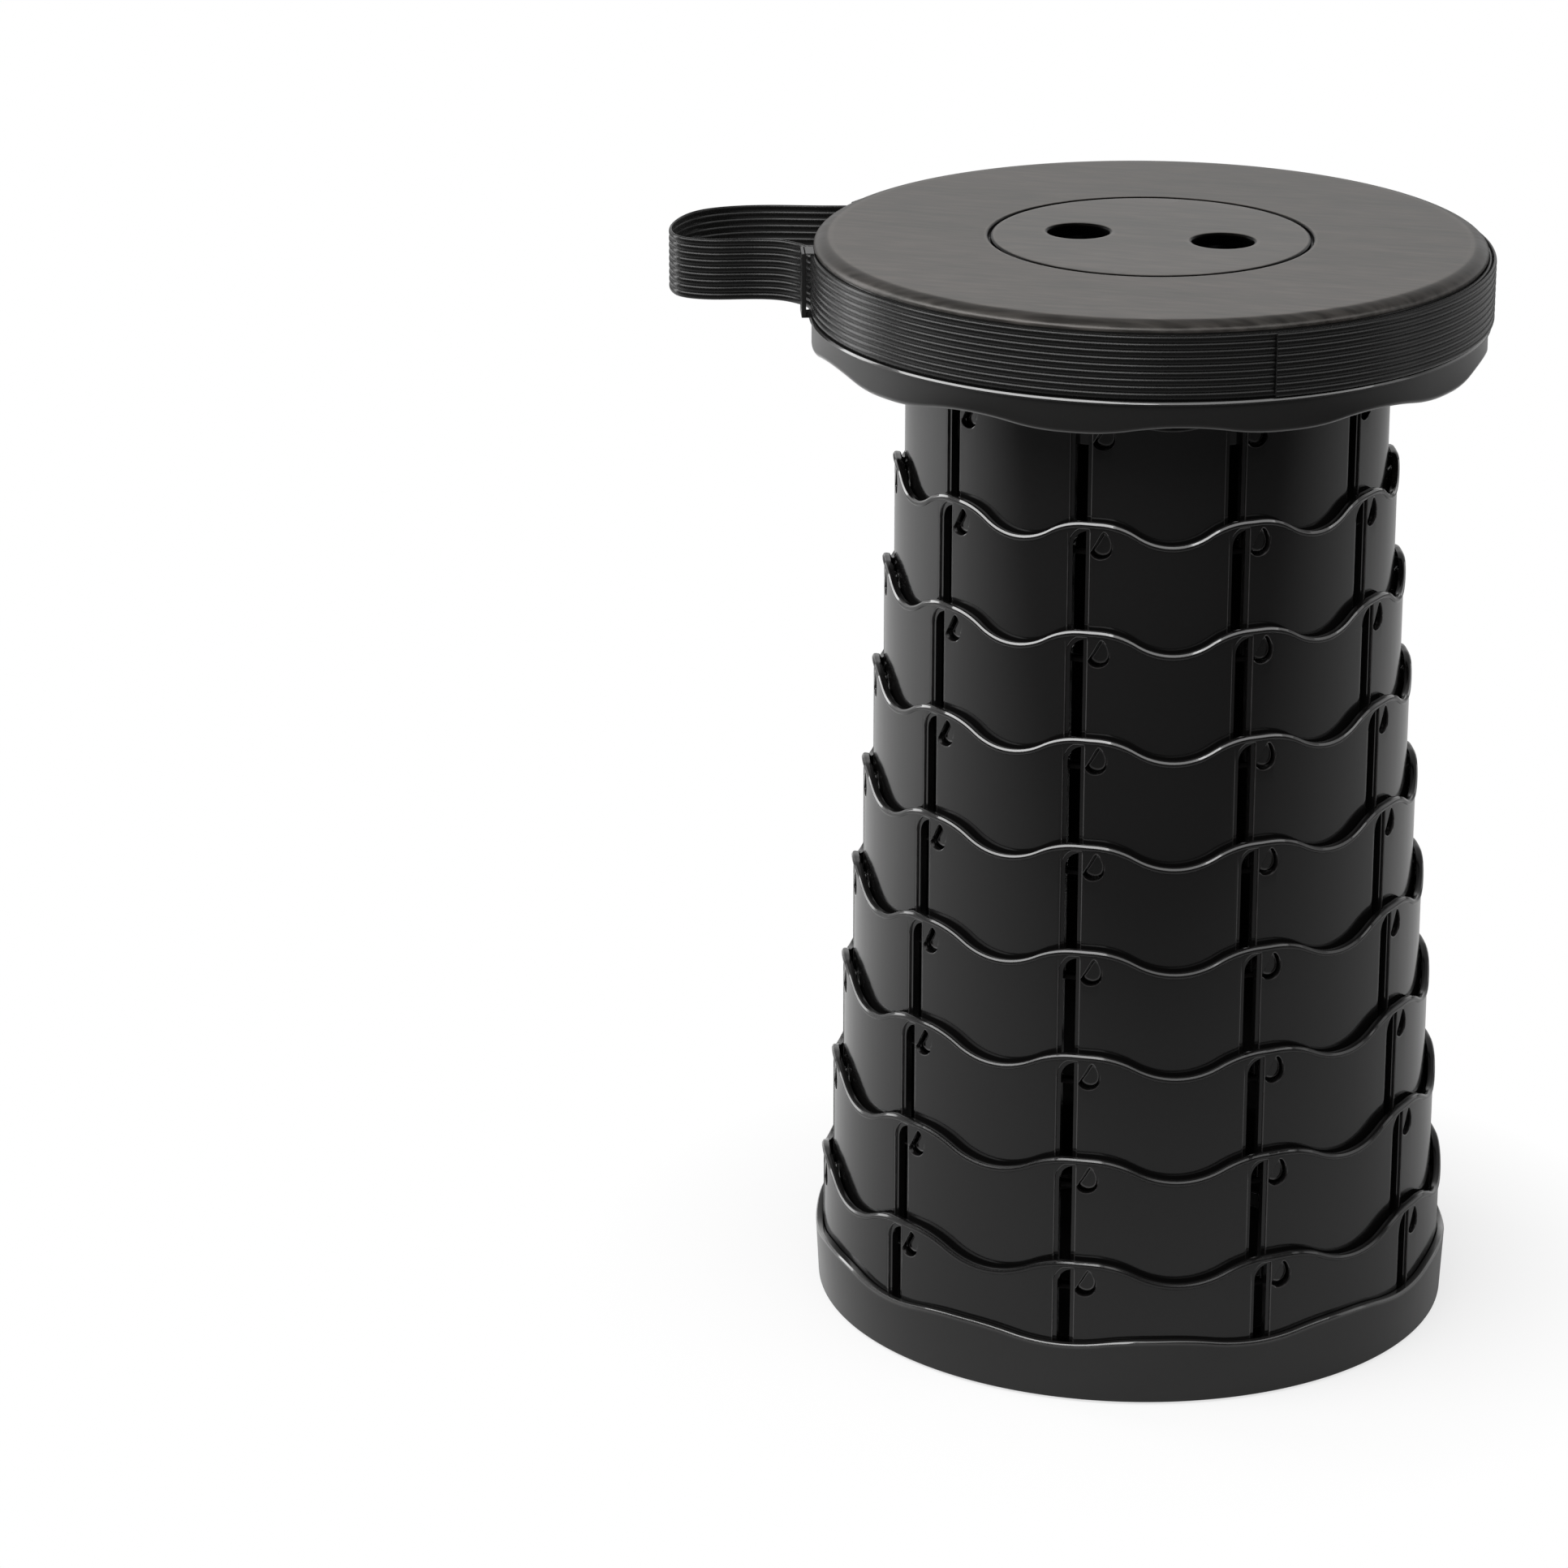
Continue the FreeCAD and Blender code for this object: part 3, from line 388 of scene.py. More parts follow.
def set_inputs(tree, node, inputs):
    """Feed a node's inputs, by name or number, with another's output or a plain value."""
    for label, value in dict(inputs).items():
        if isinstance(value, bpy.types.NodeSocket):
            tree.links.new(value, node.inputs[label])
        else:
            node.inputs[label].default_value = value


def add_node(tree, kind, inputs=(), **settings):
    """A shader node with its settings and its inputs."""
    node = tree.nodes.new("ShaderNode" + kind)
    for label, value in settings.items():
        setattr(node, label, value)
    set_inputs(tree, node, inputs)
    return node


def math_node(tree, operation, *values, clamp=False):
    """The output of a Math node on outputs and numbers."""
    node = add_node(tree, "Math", enumerate(values), operation=operation, use_clamp=clamp)
    return node.outputs[0]


def noise(tree, place, scale, detail):
    """The value of a noise at a place."""
    return add_node(tree, "TexNoise",
                    {"Vector": place, "Scale": scale, "Detail": detail}).outputs["Fac"]


def attribute(tree, label):
    """A value that the piece has at its points."""
    return add_node(tree, "Attribute", attribute_name=label).outputs["Fac"]


def fading(tree, value, start, end, first, last):
    """A value that goes straight from first to last between start and end."""
    return add_node(tree, "MapRange", {"Value": value, "From Min": start, "From Max": end,
                                       "To Min": first, "To Max": last}).outputs["Result"]


def ranged(tree, value, low, high):
    """A noise spread over a range."""
    return fading(tree, value, NOISE_LOW, NOISE_HIGH, low, high)


def mixed_colour(tree, factor, first, second):
    """A colour between two, by a factor."""
    return add_node(tree, "Mix", {0: factor, 6: first, 7: second}, data_type="RGBA").outputs[2]


def shade(colour, factor):
    """A colour made lighter or darker, or tinted by three factors, with full alpha."""
    factors = np.broadcast_to(factor, 3).tolist()
    return tuple(min(channel * part, 1.0) for channel, part in zip(colour, factors)) + (1.0,)


def bumped(tree, height, distance, strength=1.0, under=None):
    """The normal that a height gives, on top of the normal under it."""
    inputs = {"Height": height, "Distance": distance, "Strength": strength}
    if under is not None:
        inputs["Normal"] = under
    return add_node(tree, "Bump", inputs).outputs["Normal"]


def effect_group(name, values, results):
    """A node group from a vector and named values to named values.

    Gives the group, the sockets that start it and those that end it.
    """
    group = bpy.data.node_groups.new(name, "ShaderNodeTree")
    group.interface.new_socket("Vector", in_out="INPUT", socket_type="NodeSocketVector")
    for label, value in values.items():
        socket = group.interface.new_socket(label, in_out="INPUT", socket_type="NodeSocketFloat")
        socket.default_value = value
    for label in results:
        group.interface.new_socket(label, in_out="OUTPUT", socket_type="NodeSocketFloat")
    start = group.nodes.new("NodeGroupInput")
    end = group.nodes.new("NodeGroupOutput")
    return group, start.outputs, end


def make_grain_group():
    """Fine moulded grain, and broad patches: one noise each, from 0 to 1."""
    group, start, end = effect_group("Fine grain", {"Scale": 900.0, "Detail": 3.0},
                                     ("Grain", "Patches"))
    set_inputs(group, end, {
        "Grain": noise(group, start["Vector"], start["Scale"], start["Detail"]),
        "Patches": noise(group, start["Vector"], 14.0, 3.0)})
    return group


def make_painted_highlight_group():
    """A painted highlight along edges: the piece's edge value, broken up by noise."""
    group, start, end = effect_group("Edge wear", {"Edge": 0.0, "Amount": 0.5}, ("Wear",))
    broken = math_node(group, "MULTIPLY", noise(group, start["Vector"], 160.0, 4.0), start["Edge"])
    amount = math_node(group, "MULTIPLY", broken, start["Amount"], clamp=True)
    set_inputs(group, end, {"Wear": amount})
    return group


def make_brushed_group():
    """Brushed streaks: noise drawn out along X, fine, and coarse at 0.22 of its scale."""
    group, start, end = effect_group("Brushed streaks", {"Across": 900.0, "Along": 14.0},
                                     ("Fine", "Coarse"))
    split = add_node(group, "SeparateXYZ", {0: start["Vector"]})
    for label, share in (("Fine", 1.0), ("Coarse", 0.22)):
        along = math_node(group, "MULTIPLY", start["Along"], share)
        across = math_node(group, "MULTIPLY", start["Across"], share)
        drawn = add_node(group, "CombineXYZ", {
            axis: math_node(group, "MULTIPLY", split.outputs[axis], scale)
            for axis, scale in enumerate((along, across, across))})
        set_inputs(group, end, {label: noise(group, drawn.outputs[0], 1.0, 2.0)})
    return group


def make_weave_group():
    """Woven yarns on the cloth's own map: steep slanting picks in rows across.

    Height is the product of a sine along the webbing, shifted row by row, and
    a sine across it, brought to lie from 0 to 1.
    """
    group, start, end = effect_group("Woven yarns", {"Pick": 0.0009, "Row": 0.0008}, ("Height",))
    split = add_node(group, "SeparateXYZ", {0: start["Vector"]})
    along = math_node(group, "DIVIDE", split.outputs[0], start["Pick"])
    across = math_node(group, "DIVIDE", split.outputs[1], start["Row"])
    slanted = math_node(group, "ADD", along, math_node(group, "MULTIPLY", across, 0.5))
    waves = [math_node(group, "SINE", math_node(group, "MULTIPLY", turns, 2 * math.pi))
             for turns in (slanted, across)]
    both = math_node(group, "MULTIPLY", *waves)
    set_inputs(group, end, {"Height": math_node(group, "MULTIPLY_ADD", both, 0.5, 0.5)})
    return group


def placed_group(tree, name, **values):
    """The outputs of a shared effect placed in a material with its own values."""
    return add_node(tree, "Group", values, node_tree=GROUPS[name]).outputs


def start_material(name):
    """A material with its tree, its Principled shader and object coordinates."""
    material = bpy.data.materials.new(name)
    material.use_nodes = True
    tree = material.node_tree
    place = add_node(tree, "TexCoord").outputs["Object"]
    return material, tree, tree.nodes["Principled BSDF"], place


def moulded_plastic(name, colour, roughness, specular, grain, grain_height, wear, paler=4.0,
                    polished=0.0):
    """Moulded plastic: patchy gloss, fine grain, and a painted highlight along edges.

    Where the edge value is, the colour is paler by that factor, broken up by noise: a painted
    highlight. A coat of the edge value times polished makes the rolled edges shine.
    """
    material, tree, shader, place = start_material(name)
    fine = placed_group(tree, "Fine grain", Vector=place, Scale=grain, Detail=3.0)
    edge = attribute(tree, "edge")
    painted_highlight_share = placed_group(tree, "Edge wear", Vector=place, Edge=edge, Amount=wear)["Wear"]
    patchy = mixed_colour(tree, fine["Patches"], shade(colour, 0.86), shade(colour, 1.16))
    # The edge value paints a paler colour along edges, a painted highlight.
    set_inputs(tree, shader, {
        "Base Color": mixed_colour(tree, painted_highlight_share, patchy, shade(colour, paler)),
        "Roughness": ranged(tree, fine["Patches"], roughness * 0.88, roughness * 1.12),
        "Specular IOR Level": specular,
        "Normal": bumped(tree, fine["Grain"], grain_height)})
    if polished:
        set_inputs(tree, shader, {
            "Coat Weight": math_node(tree, "MULTIPLY", edge, polished, clamp=True),
            "Coat Roughness": 0.05})
    return material


def brushed_plate(name, colour, roughness, gloss):
    """Brushed satin plate: fine streaks in colour, gloss and height, under a thin coat.

    Coarse streaks tint it cool and warm. At the edge value its colour is paler, a painted
    highlight. A second mark paints shade: where it is, the plate is almost black and metallic,
    without coat.
    """
    material, tree, shader, place = start_material(name)
    streaks = placed_group(tree, "Brushed streaks", Vector=place, Across=330.0, Along=55.0)
    grain = placed_group(tree, "Fine grain", Vector=place, Scale=1500.0, Detail=2.0)["Grain"]
    edge = attribute(tree, "edge")
    groove = attribute(tree, "groove")
    painted_highlight_share = placed_group(tree, "Edge wear", Vector=place, Edge=edge, Amount=0.6)["Wear"]
    fine = mixed_colour(tree, ranged(tree, streaks["Fine"], 0.0, 1.0),
                        shade(colour, 0.3), shade(colour, 1.7))
    coarse = mixed_colour(tree, ranged(tree, streaks["Coarse"], 0.0, 1.0),
                          shade(colour, COOL_TINT), shade(colour, WARM_TINT))
    base = mixed_colour(tree, 0.45, fine, coarse)
    # Painted highlight: paler where the edge value is.
    base = mixed_colour(tree, painted_highlight_share, base, shade(colour, 2.2))
    coat = ranged(tree, streaks["Fine"], gloss - 0.16, gloss + 0.16)
    coated = math_node(tree, "SUBTRACT", 1.0, groove, clamp=True)
    brushed = bumped(tree, streaks["Fine"], 0.00004, 0.8)
    # Painted shade: the second mark turns the colour almost black and metallic and takes the coat
    # away.
    set_inputs(tree, shader, {
        "Base Color": mixed_colour(tree, groove, base, shade(colour, 0.03)),
        "Metallic": groove,
        "Roughness": ranged(tree, streaks["Fine"], roughness * 0.8, roughness * 1.2),
        "Specular IOR Level": 0.5,
        "Coat Weight": math_node(tree, "MULTIPLY", coat, coated),
        "Coat Roughness": roughness,
        "Normal": bumped(tree, grain, 0.00002, 0.5, brushed)})
    return material


def woven_strap(name, colour):
    """Ribbed webbing: yarns on the cloth's map, painted shade in the grooves and between the yarns,
    and loose fibres.
    """
    material, tree, shader, place = start_material(name)
    cloth = add_node(tree, "UVMap", uv_map="cloth").outputs["UV"]
    yarns = placed_group(tree, "Woven yarns", Vector=cloth, Pick=0.0011, Row=0.0012)["Height"]
    grain = placed_group(tree, "Fine grain", Vector=place, Scale=1600.0, Detail=4.0)["Grain"]
    # Painted shade and light on the weave: darker between the yarns and lighter on their tops.
    lit = mixed_colour(tree, yarns, shade(colour, 0.7), shade(colour, 1.35))
    woven = bumped(tree, yarns, 0.00001, 0.4)
    # Painted shade in the grooves: the colour falls to 0.45 where the rib height, given as the edge
    # value, is low.
    set_inputs(tree, shader, {
        "Base Color": mixed_colour(tree, attribute(tree, "edge"), shade(colour, 0.45), lit),
        "Roughness": ranged(tree, grain, 0.2, 0.3),
        "Specular IOR Level": 0.3,
        "Sheen Weight": 0.06,
        "Sheen Roughness": 0.45,
        "Normal": bumped(tree, grain, 0.00002, 0.5, woven)})
    return material


def plain_steel(name, colour):
    """Plain drawn steel with fine marks."""
    material, tree, shader, place = start_material(name)
    fine = placed_group(tree, "Fine grain", Vector=place, Scale=2200.0, Detail=4.0)
    set_inputs(tree, shader, {
        "Base Color": mixed_colour(tree, fine["Patches"], shade(colour, 0.85), shade(colour, 1.1)),
        "Metallic": 1.0,
        "Roughness": ranged(tree, fine["Grain"], 0.28, 0.42),
        "Normal": bumped(tree, fine["Grain"], 0.00002)})
    return material


def make_finishes(colours):
    """Build the shared effects and every finish once."""
    GROUPS.update({
        "Fine grain": make_grain_group(), "Edge wear": make_painted_highlight_group(),
        "Brushed streaks": make_brushed_group(), "Woven yarns": make_weave_group()})
    colour = {name: tuple(getattr(colours, name)) for name in colours.__annotations__}
    MATERIALS.update({
        "ring_black": moulded_plastic(
            "Glossy ring plastic", colour["ring"], roughness=0.13, specular=0.5, grain=420.0,
            grain_height=0.000004, wear=0.9, paler=18.0, polished=4.0),
        "rim_grey": moulded_plastic(
            "Satin rim plastic", colour["rim"], roughness=0.2, specular=0.5, grain=700.0,
            grain_height=0.000006, wear=0.9, paler=6.0, polished=4.0),
        "seat_grey": brushed_plate("Brushed seat", colour["seat"], roughness=0.36, gloss=0.16),
        "cap_grey": brushed_plate("Brushed cap", colour["seat"], roughness=0.36, gloss=0.34),
        "webbing": woven_strap("Ribbed webbing", colour["webbing"]),
        "pad_rubber": moulded_plastic(
            "Foot rubber", colour["rubber"], roughness=0.75, specular=0.3, grain=1200.0,
            grain_height=0.00004, wear=0.2),
        "lever_grey": moulded_plastic(
            "Lever plastic", colour["lever"], roughness=0.35, specular=0.4, grain=900.0,
            grain_height=0.00001, wear=0.4),
        "pin_steel": plain_steel("Pin steel", colour["steel"])})


# --- rings -----------------------------------------------------------------

# Directions of ring 1's first slot and crest and of the wave on skirt and base, from +X.
SLOT_ANGLE = math.radians(15.3)
CREST_ANGLE = math.radians(18.3)
EDGE_WAVE_ANGLE = math.radians(17.6)
# From a ring's foot to its crests, and how far a ring slides in the next.
RING_HEIGHT = 53.1
TRAVEL = 39.8

# A pocket's outline from a slot's middle and down from the crest, and the lug's.
POCKET_POINTS = [
    (4.3, -11.7), (5.6, -13.3), (7.75, -13.9), (10.3, -13.2), (11.85, -11.4), (12.15, -8.9),
    (11.5, -6.2), (10.3, -4.1), (9.25, -3.4), (8.3, -4.1), (6.55, -7.4), (4.95, -10.3)]
LUG_POINTS = [
    (4.75, -11.4), (6.05, -12.6), (8.2, -13.1), (10.2, -12.4), (11.25, -10.8), (11.5, -8.7),
    (10.9, -6.3), (10.0, -4.8), (9.25, -4.25), (8.5, -4.9), (7.0, -7.6), (5.5, -10.1)]

# Columns of a ring's wall: across a slot as shares of its mouth, and their counts
# across a pocket and over the plain wall. A plain column's place across is FAR.
SLOT_COLUMNS = np.array([0, 0.015, 0.05, 0.11, 0.2, 0.32, 0.48, 0.66, 0.84, 1.0])
POCKET_COLUMNS = 19
PLAIN_COLUMNS = 22
FAR = 99.0
NEARLY = 1e-6
# Width of the soft edge round an opening, and how far it is drawn in.
SOFT_EDGE = 0.35
DRAWN_IN = 0.14
# Where the pocket's two lines cross a slot, down from the crest, and where they
# run over the plain wall, down from the bead.
LINES_IN_SLOT = (-13.4, -11.2)
LINES_ON_WALL = (7.0, 4.0)
# How far the wall falls back at the two lines by a slot's sill.
SILL_FALL = (2.5, 2.9)

# The rolled bead from its lower edge over the top to the inner wall: out from the
# ring's radius in bead depths, and up from the crest in bead heights. The long
# straight run is the flat that takes the light; the last two points are set to
# meet the inner wall.
BEAD = np.array([
    (0.45, -0.97), (0.85, -0.84), (1.0, -0.68), (1.0, -0.48), (0.83, -0.38), (0.79, -0.36),
    (0.28, -0.115), (0.235, -0.09), (-0.5, 0.0), (-1.6, -0.01), (-2.1, -0.08), (-2.4, -0.25)])
# Its coat and painted highlight, from the fourth point to the eighth.
BEAD_COAT_AND_HIGHLIGHT = np.array([0.1, 0.8, 1.0, 1.0, 0.8])

# The seat's sleeve: its flange, and its points round the axis.
FLANGE_WIDTH = 8
FLANGE_HEIGHT = 2
SLEEVE_COLUMNS = 180


def pocket_edges(across):
    """Lower and upper height of the pocket's outline at distances across."""
    outline = closed_curve(POCKET_POINTS, 480)
    outline = np.roll(outline, -int(np.argmin(outline[:, 0])), axis=0)
    right = int(np.argmax(outline[:, 0]))
    lower = outline[:right + 1]
    upper = outline[right:][::-1]
    lower = lower[np.argsort(lower[:, 0])]
    upper = upper[np.argsort(upper[:, 0])]
    return (np.interp(across, lower[:, 0], lower[:, 1]),
            np.interp(across, upper[:, 0], upper[:, 1]), outline[0, 0], outline[right, 0])


def bend_top(across, half, bend, shoulder):
    """Top of a slot that bends over to the right on an arc from its left side."""
    return shoulder + np.sqrt(np.maximum(bend ** 2 - (across - bend + half) ** 2, 0))


def ring_layout(radius, wave_height, sizes):
    """Columns and height lines of one period of a ring's wall.

    Gives the columns' places across from a slot's middle and the lines'
    heights, [line, column], for the outer surface and for the inner ends of
    the slots, which are narrower. Then the cells that are open, the points in
    and round a slot's opening, and the height of the wavy top at each column.
    """
    half = sizes.slot_mouth / MM / 2
    narrow = sizes.slot_width / sizes.slot_mouth
    shoulder = -sizes.slot_shoulder / MM
    edge = SOFT_EDGE
    slot_x = -half + 2 * half * SLOT_COLUMNS
    _, _, pocket_left, pocket_right = pocket_edges(np.zeros(1))
    pocket_x = pocket_left + (pocket_right - pocket_left) * (
        0.5 - 0.5 * np.cos(np.linspace(0, math.pi, POCKET_COLUMNS)))
    fine = np.concatenate([[-half - 4 * edge, -half - edge], slot_x, [half + edge], pocket_x,
                           [pocket_right + edge, pocket_right + 4 * edge]])
    fine_angle = np.arcsin(fine / radius)
    plain = np.linspace(fine_angle[-1], fine_angle[0] + PERIOD, PLAIN_COLUMNS + 2)[1:-1]
    angle = np.concatenate([fine_angle, plain])
    x = np.concatenate([fine, np.full(PLAIN_COLUMNS, FAR)])

    middle = CREST_ANGLE - SLOT_ANGLE + PERIOD / 2
    drop = wave_drop(radius, angle, wave_height, middle)
    under = -drop - sizes.bead_height / MM
    low, high, _, _ = pocket_edges(x)
    by_slot = np.abs(x) <= half + NEARLY
    by_pocket = (x > half) & (x <= pocket_right + NEARLY)
    chosen = [by_slot, by_pocket]
    pocket_low, pocket_high = (
        np.select(chosen, [np.full_like(x, in_slot_at), in_pocket_at], under - on_wall_at)
        for in_slot_at, in_pocket_at, on_wall_at in zip(
            LINES_IN_SLOT, (np.minimum(low, high - 0.05), high), LINES_ON_WALL))
    above = under - pocket_high - edge
    mouth = np.minimum(bend_top(x, half, sizes.mouth_bend / MM, shoulder), under - 0.45)
    slot_top = np.where(by_slot, mouth, pocket_high + edge + above * 0.45)
    over_slot = np.where(by_slot, mouth + edge, slot_top + above * 0.3)
    sill = sizes.slot_sill / MM + 0 * x

    # Each level's height and the number of cells from it to the next.
    levels = [
        (0 * x, 1), (sill - edge, 1), (sill, 7), (RING_HEIGHT + pocket_low - edge, 1),
        (RING_HEIGHT + pocket_low, 3), (RING_HEIGHT + pocket_high, 1),
        (RING_HEIGHT + pocket_high + edge, 1), (RING_HEIGHT + slot_top, 1),
        (RING_HEIGHT + over_slot, 2), (RING_HEIGHT + under, 0)]
    heights = []
    names = []
    for number, (level, parts) in enumerate(levels):
        heights.append(level)
        names.append(float(number))
        for part in range(1, parts):
            heights.append(level + (levels[number + 1][0] - level) * part / parts)
            names.append(number + 0.5)
    heights = np.array(heights)
    row = np.array(names)[:, None]
    row_low = row[:-1]
    left = x[None, :]
    right = np.roll(x, -1)[None, :]
    in_slot = (np.abs(left) <= half + NEARLY) & (np.abs(right) <= half + NEARLY)
    in_pocket = ((left >= pocket_left - NEARLY) & (right > left)
                 & (right <= pocket_right + NEARLY))
    open_cells = ((in_slot & (row_low >= 2) & (row_low < 7))
                  | (in_pocket & (row_low >= 4) & (row_low < 5)))
    inside = by_slot[None, :] & (row >= 2) & (row <= 7)
    inner_angle = np.where(inside, np.arcsin(np.clip(x * narrow / radius, -1, 1)), angle)
    inner_top = bend_top(x * narrow, half * narrow, sizes.slot_bend / MM, shoulder)
    inner_heights = np.where(inside & (row == 7), RING_HEIGHT + inner_top, heights)
    return angle, inner_angle, heights, inner_heights, open_cells, inside, RING_HEIGHT - drop


def ring_surface(radius, foot, turn, wave_height, gloss, sizes):
    """Closed shell of a ring: outer wall up, over the bead and down the inner wall.

    Points are a grid of height lines and columns. Open cells are left out of both walls and lined
    by way of two sheets between them. A slot's lining has a ledge that faces outwards and lips
    behind it, and every opening's edge is drawn in for a soft corner. gloss is the bead's edge
    value. The edge value gives a coat and a painted highlight: a pale line round every opening and
    along the bead's flat.
    """
    wall = sizes.ring_wall / MM
    high = sizes.bead_height / MM
    deep = sizes.bead_depth / MM
    layout = ring_layout(radius, wave_height, sizes)
    angle, inner_angle, heights, inner_heights, open_cells, inside, top = layout
    lines, columns = heights.shape
    steps = PERIOD * np.arange(WAVES)[:, None] + SLOT_ANGLE + turn
    around = (angle[None, :] + steps).ravel()
    inner_around = (inner_angle[:, None, :] + steps[None]).reshape(lines, -1)
    under_slot = np.tile(inside.any(axis=0), WAVES)
    heights, inner_heights, inside, open_cells = (
        np.tile(each, (1, WAVES)) for each in (heights, inner_heights, inside, open_cells))
    keep = ~open_cells
    top = np.tile(top, WAVES)
    whole = np.ones((lines, columns * WAVES), bool)
    whole[:-1] &= keep
    whole[1:] &= keep
    whole &= np.roll(whole, 1, axis=1)
    edges = ~whole
    slot_edges = edges & inside

    bead_radius = radius + BEAD[:, 0] * deep
    bead_radius[-2:] = (radius - wall + 0.2, radius - wall)
    outer = radius - np.where(edges, DRAWN_IN, 0)
    for line, fall in enumerate(SILL_FALL, 1):
        outer[line] -= fall * under_slot
    inner = radius - np.where(slot_edges, sizes.slot_depth / MM, wall)
    rim = bead_radius[:, None] + 0 * around[None, :]
    rim_height = top[None, :] + BEAD[:, 1, None] * high
    ledge = radius - sizes.ledge_depth / MM
    linings = []
    # For each sheet of the lining: how far behind the ledge it lies, the share of a
    # slot's narrowing, and the share of the wall's thickness round a pocket.
    for depth, share, plain in ((0.0, 0.06, 0.35), (0.12, 0.94, 0.7)):
        linings.append((np.where(slot_edges, ledge - depth, outer + (inner - outer) * plain),
                        around[None, :] + (inner_around - around[None, :]) * share,
                        heights + (inner_heights - heights) * share))
    rows = np.concatenate([outer, rim, inner[::-1]] + [sheet[0] for sheet in linings])
    turns = np.concatenate([
        np.broadcast_to(around, outer.shape), np.broadcast_to(around, rim.shape),
        inner_around[::-1]] + [sheet[1] for sheet in linings])
    levels = np.concatenate([heights, rim_height, inner_heights[::-1]]
                            + [sheet[2] for sheet in linings])
    points = rolled(rows, turns, levels + foot)

    total = len(rows) - 2 * lines
    quads = grid_quads(total, len(around), True, True)
    kept = np.ones((total, len(around)), bool)
    kept[:lines - 1] = keep
    kept[total - lines:total - 1] = keep[::-1]
    index = np.arange(len(rows) * len(around)).reshape(len(rows), -1)
    sheets = (index[:lines], index[total:total + lines], index[total + lines:],
              index[total - lines:total][::-1])
    walls = [side_walls(keep, first, second) for first, second in zip(sheets, sheets[1:])]
    # The edge value is a painted highlight, with a coat: a pale line round every opening, none on
    # the sill under a slot, and gloss times the bead's share along its flat.
    wear = np.zeros(rows.shape)
    wear[:lines][edges] = 1.0
    wear[:3][:, under_slot] = 0.0
    wear[lines + 3:lines + 8] = gloss * BEAD_COAT_AND_HIGHLIGHT[:, None]
    used, faces = np.unique(np.concatenate([quads[kept]] + walls), return_inverse=True)
    return points.reshape(-1, 3)[used], faces.reshape(-1, 4), wear.ravel()[used]


def lug_surfaces(radius, foot, turn, sizes):
    """Lock lugs: drop-shaped bosses, each a grid of shrinking copies of its outline.

    Gives their points, their faces and the painted highlight at each point.
    """
    tall = sizes.lug_height / MM
    outline = closed_curve(LUG_POINTS, 36)
    centre = outline.mean(axis=0)
    # Each copy's scale, how far out it stands and its painted highlight, a pale line round the
    # lug's shoulder.
    steps = [(1.0, -0.4, 0.0), (1.0, tall * 0.45, 0.4), (0.96, tall * 0.8, 1.0),
             (0.88, tall, 1.0), (0.72, tall, 0.0), (0.03, tall, 0.0)]
    parts = []
    for number in range(WAVES):
        rows = []
        for scale, out, _ in steps:
            flat = centre + (outline - centre) * scale
            angle = SLOT_ANGLE + turn + PERIOD * number + np.arcsin(flat[:, 0] / radius)
            rows.append(rolled(np.full(len(flat), radius + out), angle,
                               flat[:, 1] + foot + RING_HEIGHT - TRAVEL))
        parts.append(capped(rows))
    points, faces = joined(parts)
    wear = np.tile(np.repeat([step[2] for step in steps], len(outline)), WAVES)
    return points, faces, wear


class STOOL_OT_rings(bpy.types.Operator):
    """Build the nine rings with their slots, pockets, beads and lugs"""

    bl_idname = "stool.rings"
    bl_label = "Rings"

    def execute(self, context):
        sizes = context.scene.stool_sizes
        for number in range(1, RING_COUNT + 1):
            name = "ring_%d" % number
            radius = (sizes.ring_one_radius + (number - 1) * sizes.ring_pitch) / MM
            foot = heights_mm(name)[0]
            turn = sizes.ring_turn * (number - 1)
            # Ring 1's wave is half as deep, so that the skirt hides its hollows.
            wave_height = sizes.wave_height / MM * (0.5 if number == 1 else 1.0)
            # The beads of the lower rings get less coat and a fainter painted highlight, a painted
            # shade for the weaker light that reaches them.
            gloss = float(np.interp(number, (4, 6), (0.25, 0.06)))
            points, faces, wear = ring_surface(radius, foot, turn, wave_height, gloss, sizes)
            if number < RING_COUNT:
                lugs = lug_surfaces(radius, foot, turn + sizes.ring_turn, sizes)
                points, faces = joined([(points, faces), lugs[:2]])
                wear = np.r_[wear, lugs[2]]
            body = "base" if number == RING_COUNT else "stage_%d" % number
            shell = add_piece(name + "_shell", points, faces, body, "ring_black", (name,),
                              edge=wear)
            shell.modifiers.new("flat walls", "WEIGHTED_NORMAL").keep_sharp = True
        return {"FINISHED"}


class STOOL_OT_sleeve(bpy.types.Operator):
    """Build the seat's inner sleeve with its flange and lugs"""

    bl_idname = "stool.sleeve"
    bl_label = "Sleeve"

    def execute(self, context):
        sizes = context.scene.stool_sizes
        low, high = heights_mm("seat_sleeve")
        radius = (sizes.ring_one_radius - sizes.ring_pitch) / MM
        inner = radius - sizes.ring_wall / MM
        flange = inner - FLANGE_WIDTH
        under = high - FLANGE_HEIGHT
        points, faces, wear = moulded_shell([
            (radius, low, 0.5, 0, 0), (radius, high, 0.3, 0, 0), (flange, high, 0.3, 0, 0),
            (flange, under, 0.3, 0, 0), (inner, under, 0.8, 0, 0), (inner, low, 0.5, 0, 0)],
            3, SLEEVE_COLUMNS)
        lugs = lug_surfaces(radius, low, 0.0, sizes)
        points, faces = joined([(points, faces), lugs[:2]])
        add_piece("sleeve_shell", points, faces, "seat", "ring_black", ("seat_sleeve",),
                  edge=np.r_[wear, lugs[2]])
        return {"FINISHED"}


# --- seat ------------------------------------------------------------------

# Points round the seat plate, the rim and the base.
PLATE_COLUMNS = 256
SHELL_COLUMNS = 360
